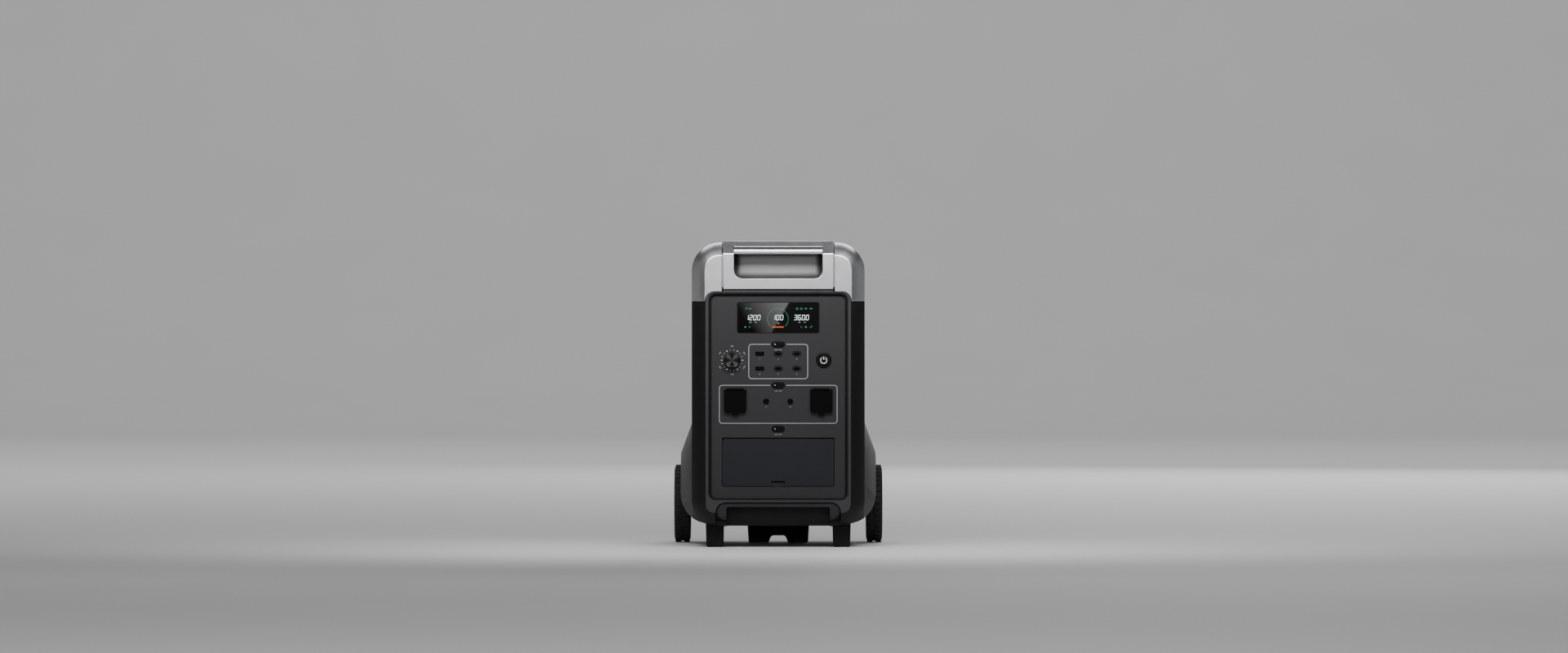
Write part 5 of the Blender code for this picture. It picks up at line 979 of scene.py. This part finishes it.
def treaded_tyre(side):
    """The CAD tyre with its running surface lowered, and two rows of lugs that bring it back to size."""
    tyre = softened("tyre_" + side, tyre_rubber, "tyre_rubber", 0.0004)
    low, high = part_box("tyre_" + side)
    middle = (low + high) / 2
    outer = (high.z - low.z) / 2
    for vertex in tyre.data.vertices:
        spoke = Vector((0, vertex.co.y - middle.y, vertex.co.z - middle.z))
        if spoke.length > outer - TREAD_BAND:
            vertex.co -= spoke.normalized() * LUG_DEPTH
    for row, offset in enumerate(LUG_ROWS):
        lug = bmesh.new()
        bmesh.ops.create_cube(lug, size=1.0, matrix=Matrix.Diagonal((2 * LUG_DEPTH, *LUG_SIZE, 1)))
        bmesh.ops.bevel(lug, geom=lug.edges[:], offset=LUG_ROUND, segments=2, affect="EDGES", profile=0.5)
        staggered = Matrix.Rotation(math.pi * row / LUG_COUNT, 4, "X") @ Matrix.Rotation(math.pi / 2, 4, "Y")
        place = Matrix.Translation((middle.x + offset, middle.y, middle.z)) @ staggered
        name = f"tread_{side}_{row}"
        lugs = ring_of(name, from_work(lug, name), tyre_rubber, LUG_COUNT, outer - LUG_SEAT, place)
        outfit(lugs, "wheel_" + side, "tyre_rubber")


for side in ("left", "right"):
    treaded_tyre(side)
    softened("wheel_hub_" + side, hub_plastic, "hub_plastic", 0.0004)
    softened("fender_" + side, fender_plastic, "silver_plastic", 0.0006, 3)
softened("axle", brushed_steel, "brushed_steel", 0.0003)


# Cooling.
# A slotted grille on each side, and behind it a square fan whose rotor turns on the frame's hub.
GRILLE_INSET = 0.0055
for side in ("left", "right"):
    softened("vent_grille_" + side, black_plastic, "black_plastic", 0)
    softened("fan_frame_" + side, black_plastic, "black_plastic", 0.0003)
    softened("fan_rotor_" + side, gloss_black, "gloss_black", 0.0002)
    low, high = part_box("vent_grille_" + side)
    face, outward = (low.x, -1) if side == "left" else (high.x, 1)
    corners = [
        (face, y, z)
        for y in (low.y + GRILLE_INSET, high.y - GRILLE_INSET)
        for z in (low.z + GRILLE_INSET, high.z - GRILLE_INSET)
    ]
    screwed("grille_screws_" + side, "housing", corners, (outward, 0, 0))


# Battery.
# Two stacks of wrapped cells in a tray, with their management board on top.
cell_wrap, wrap_tree, wrap_place = new_finish("cell_wrap")
bands = wrap_tree.add("ShaderNodeTexWave", {"bands_direction": "Y"}, {"Vector": wrap_place, "Scale": 12.0})
plug(cell_wrap, "Base Color", mixed(wrap_tree, bands, (0.010, 0.045, 0.16, 1), (0.014, 0.06, 0.21, 1)))
plug(cell_wrap, "Roughness", 0.28 + 0.15 * noise(wrap_tree, wrap_place, 40.0))
softened("battery_tray", black_plastic, "black_plastic", 0.0003)
for side in ("left", "right"):
    softened("cell_stack_" + side, cell_wrap, "cell_wrap", 0.0008)
circuit_board, board_tree, board_place = new_finish("circuit_board")
tracks = board_tree.add(
    "ShaderNodeTexBrick",
    None,
    {
        "Vector": board_place,
        "Scale": 60.0,
        "Mortar Size": 0.012,
        "Color1": (0.010, 0.060, 0.030, 1),
        "Color2": (0.012, 0.072, 0.034, 1),
        "Mortar": (0.03, 0.14, 0.07, 1),
    },
)
plug(circuit_board, "Base Color", tracks)
plug(circuit_board, "Roughness", 0.32 + 0.2 * noise(board_tree, board_place, 300.0))
softened("battery_board", circuit_board, "circuit_board", 0.0001)


# Electronics.
# A sheet-metal deck over the battery carries the inverter board and its finned heat sink.
softened("electronics_deck", brushed_steel, "sheet_metal", 0.0002)
softened("inverter_board", circuit_board, "circuit_board", 0.0001)
softened("heat_sink", polished_aluminium, "polished_aluminium", 0.0002)


# Studio.
# A pale floor that rises into a backdrop. Softboxes light the object from the front, from above its face, from
# behind and from both sides, and two more light only the backdrop and the floor in front.
FLOOR_HALF = 16.0
WALL_Y = 15.0
WALL_HEIGHT = 9.0
BEND = 3.0
sweep = [(-FLOOR_HALF, 0.0), *arc(WALL_Y - BEND, BEND, BEND, -90, 0, 15), (WALL_Y, WALL_HEIGHT)]
floor_mesh = bpy.data.meshes.new("floor")
floor_mesh.from_pydata(
    [(x, y, z) for y, z in sweep for x in (-FLOOR_HALF, FLOOR_HALF)],
    [],
    [(2 * i, 2 * i + 1, 2 * i + 3, 2 * i + 2) for i in range(len(sweep) - 1)],
)
floor_mesh.shade_smooth()
floor_finish, floor_tree, floor_place = new_finish("floor", roughness=0.7)
plug(floor_finish, "Base Color", mixed(floor_tree, noise(floor_tree, floor_place, 3.0), grey(0.62), grey(0.66)))
placed(floor_mesh, "floor", floor_finish)


def soft_light(name, place, target, size, power):
    """A rectangular softbox at a place, turned to a target. The camera doesn't see it."""
    lamp = bpy.data.lights.new(name, "AREA")
    lamp.shape = "RECTANGLE"
    lamp.size, lamp.size_y = size
    lamp.energy = power
    obj = bpy.data.objects.new(name, lamp)
    obj.location = place
    obj.rotation_euler = (Vector(target) - Vector(place)).to_track_quat("-Z", "Y").to_euler()
    bpy.context.scene.collection.objects.link(obj)
    obj.visible_camera = False


MIDDLE = (0, 0, 0.30)  # where most of the lights point
soft_light("key", (-0.5, -5.0, 1.30), MIDDLE, (3.2, 1.2), 27)
soft_light("top", (0.0, -0.62, 0.80), (0, -0.19, 0.40), (0.9, 0.20), 8.5)
soft_light("rim", (0.0, 1.8, 2.4), MIDDLE, (2.4, 0.8), 6)
soft_light("backdrop", (0.0, 5.0, 9.0), (0, 12.0, 0.0), (14.0, 3.0), 950)
soft_light("back_fill", (1.6, 6.0, 2.2), MIDDLE, (2.5, 2.0), 70)
for side, x in (("left", -4.0), ("right", 4.0)):
    soft_light("side_" + side, (x, 0.4, 1.1), MIDDLE, (4.0, 2.0), 2.8)
soft_light("floor_wash", (0.0, -1.3, 1.1), (0, -4.0, 0.0), (4.0, 0.5), 7)
world = bpy.data.worlds.new("studio")
world.use_nodes = True
sky = world.node_tree.nodes["Background"].inputs
sky["Color"].default_value = grey(0.5)
sky["Strength"].default_value = 0.12
bpy.context.scene.world = world

# A pale card behind the camera, whose slanted edge shows as the gleam across the display's glass.
CARD_Y, CARD_Z = -13.2, 0.409
CARD = ((-0.30, -0.10), (-0.04, -0.06), (0.03, 0.06), (-0.24, 0.06))  # corners in x and over CARD_Z
FADE_X = -0.13  # left of this the card is dark
FADE = (6.0, 4.0)  # growth of its light to the right and upward, each metre
card_mesh = bpy.data.meshes.new("reflector")
card_mesh.from_pydata([(x, CARD_Y, CARD_Z + z) for x, z in CARD], [], [(0, 1, 2, 3)])
card_finish, card_tree, card_place = new_finish("reflector", base_color=grey(0), emission_strength=2.6)
card_x = card_tree.add("ShaderNodeSeparateXYZ", None, {0: card_place}, output="X")
card_z = card_tree.add("ShaderNodeSeparateXYZ", None, {0: card_place}, output="Z")
light = (card_x - FADE_X) * FADE[0] + (card_z - CARD_Z) * FADE[1]
fade = card_tree.add("ShaderNodeClamp", None, {"Value": light})
plug(card_finish, "Emission Color", mixed(card_tree, fade, grey(0.0), grey(1.0)))
placed(card_mesh, "reflector", card_finish)

PHOTO_WIDTH = 2.688  # metres across the photo at the object's face
FACE_Y = -0.19
CAMERA_DISTANCE = 12.0
CAMERA_X, CAMERA_Z = 0.0099, 0.379
camera = bpy.data.cameras.new("camera")
camera.sensor_width = 36.0
camera.lens = camera.sensor_width * CAMERA_DISTANCE / PHOTO_WIDTH
camera.clip_end = 100.0
camera_object = bpy.data.objects.new("camera", camera)
camera_object.location = (CAMERA_X, FACE_Y - CAMERA_DISTANCE, CAMERA_Z)
camera_object.rotation_euler = (math.pi / 2, 0, 0)
bpy.context.scene.collection.objects.link(camera_object)
bpy.context.scene.camera = camera_object
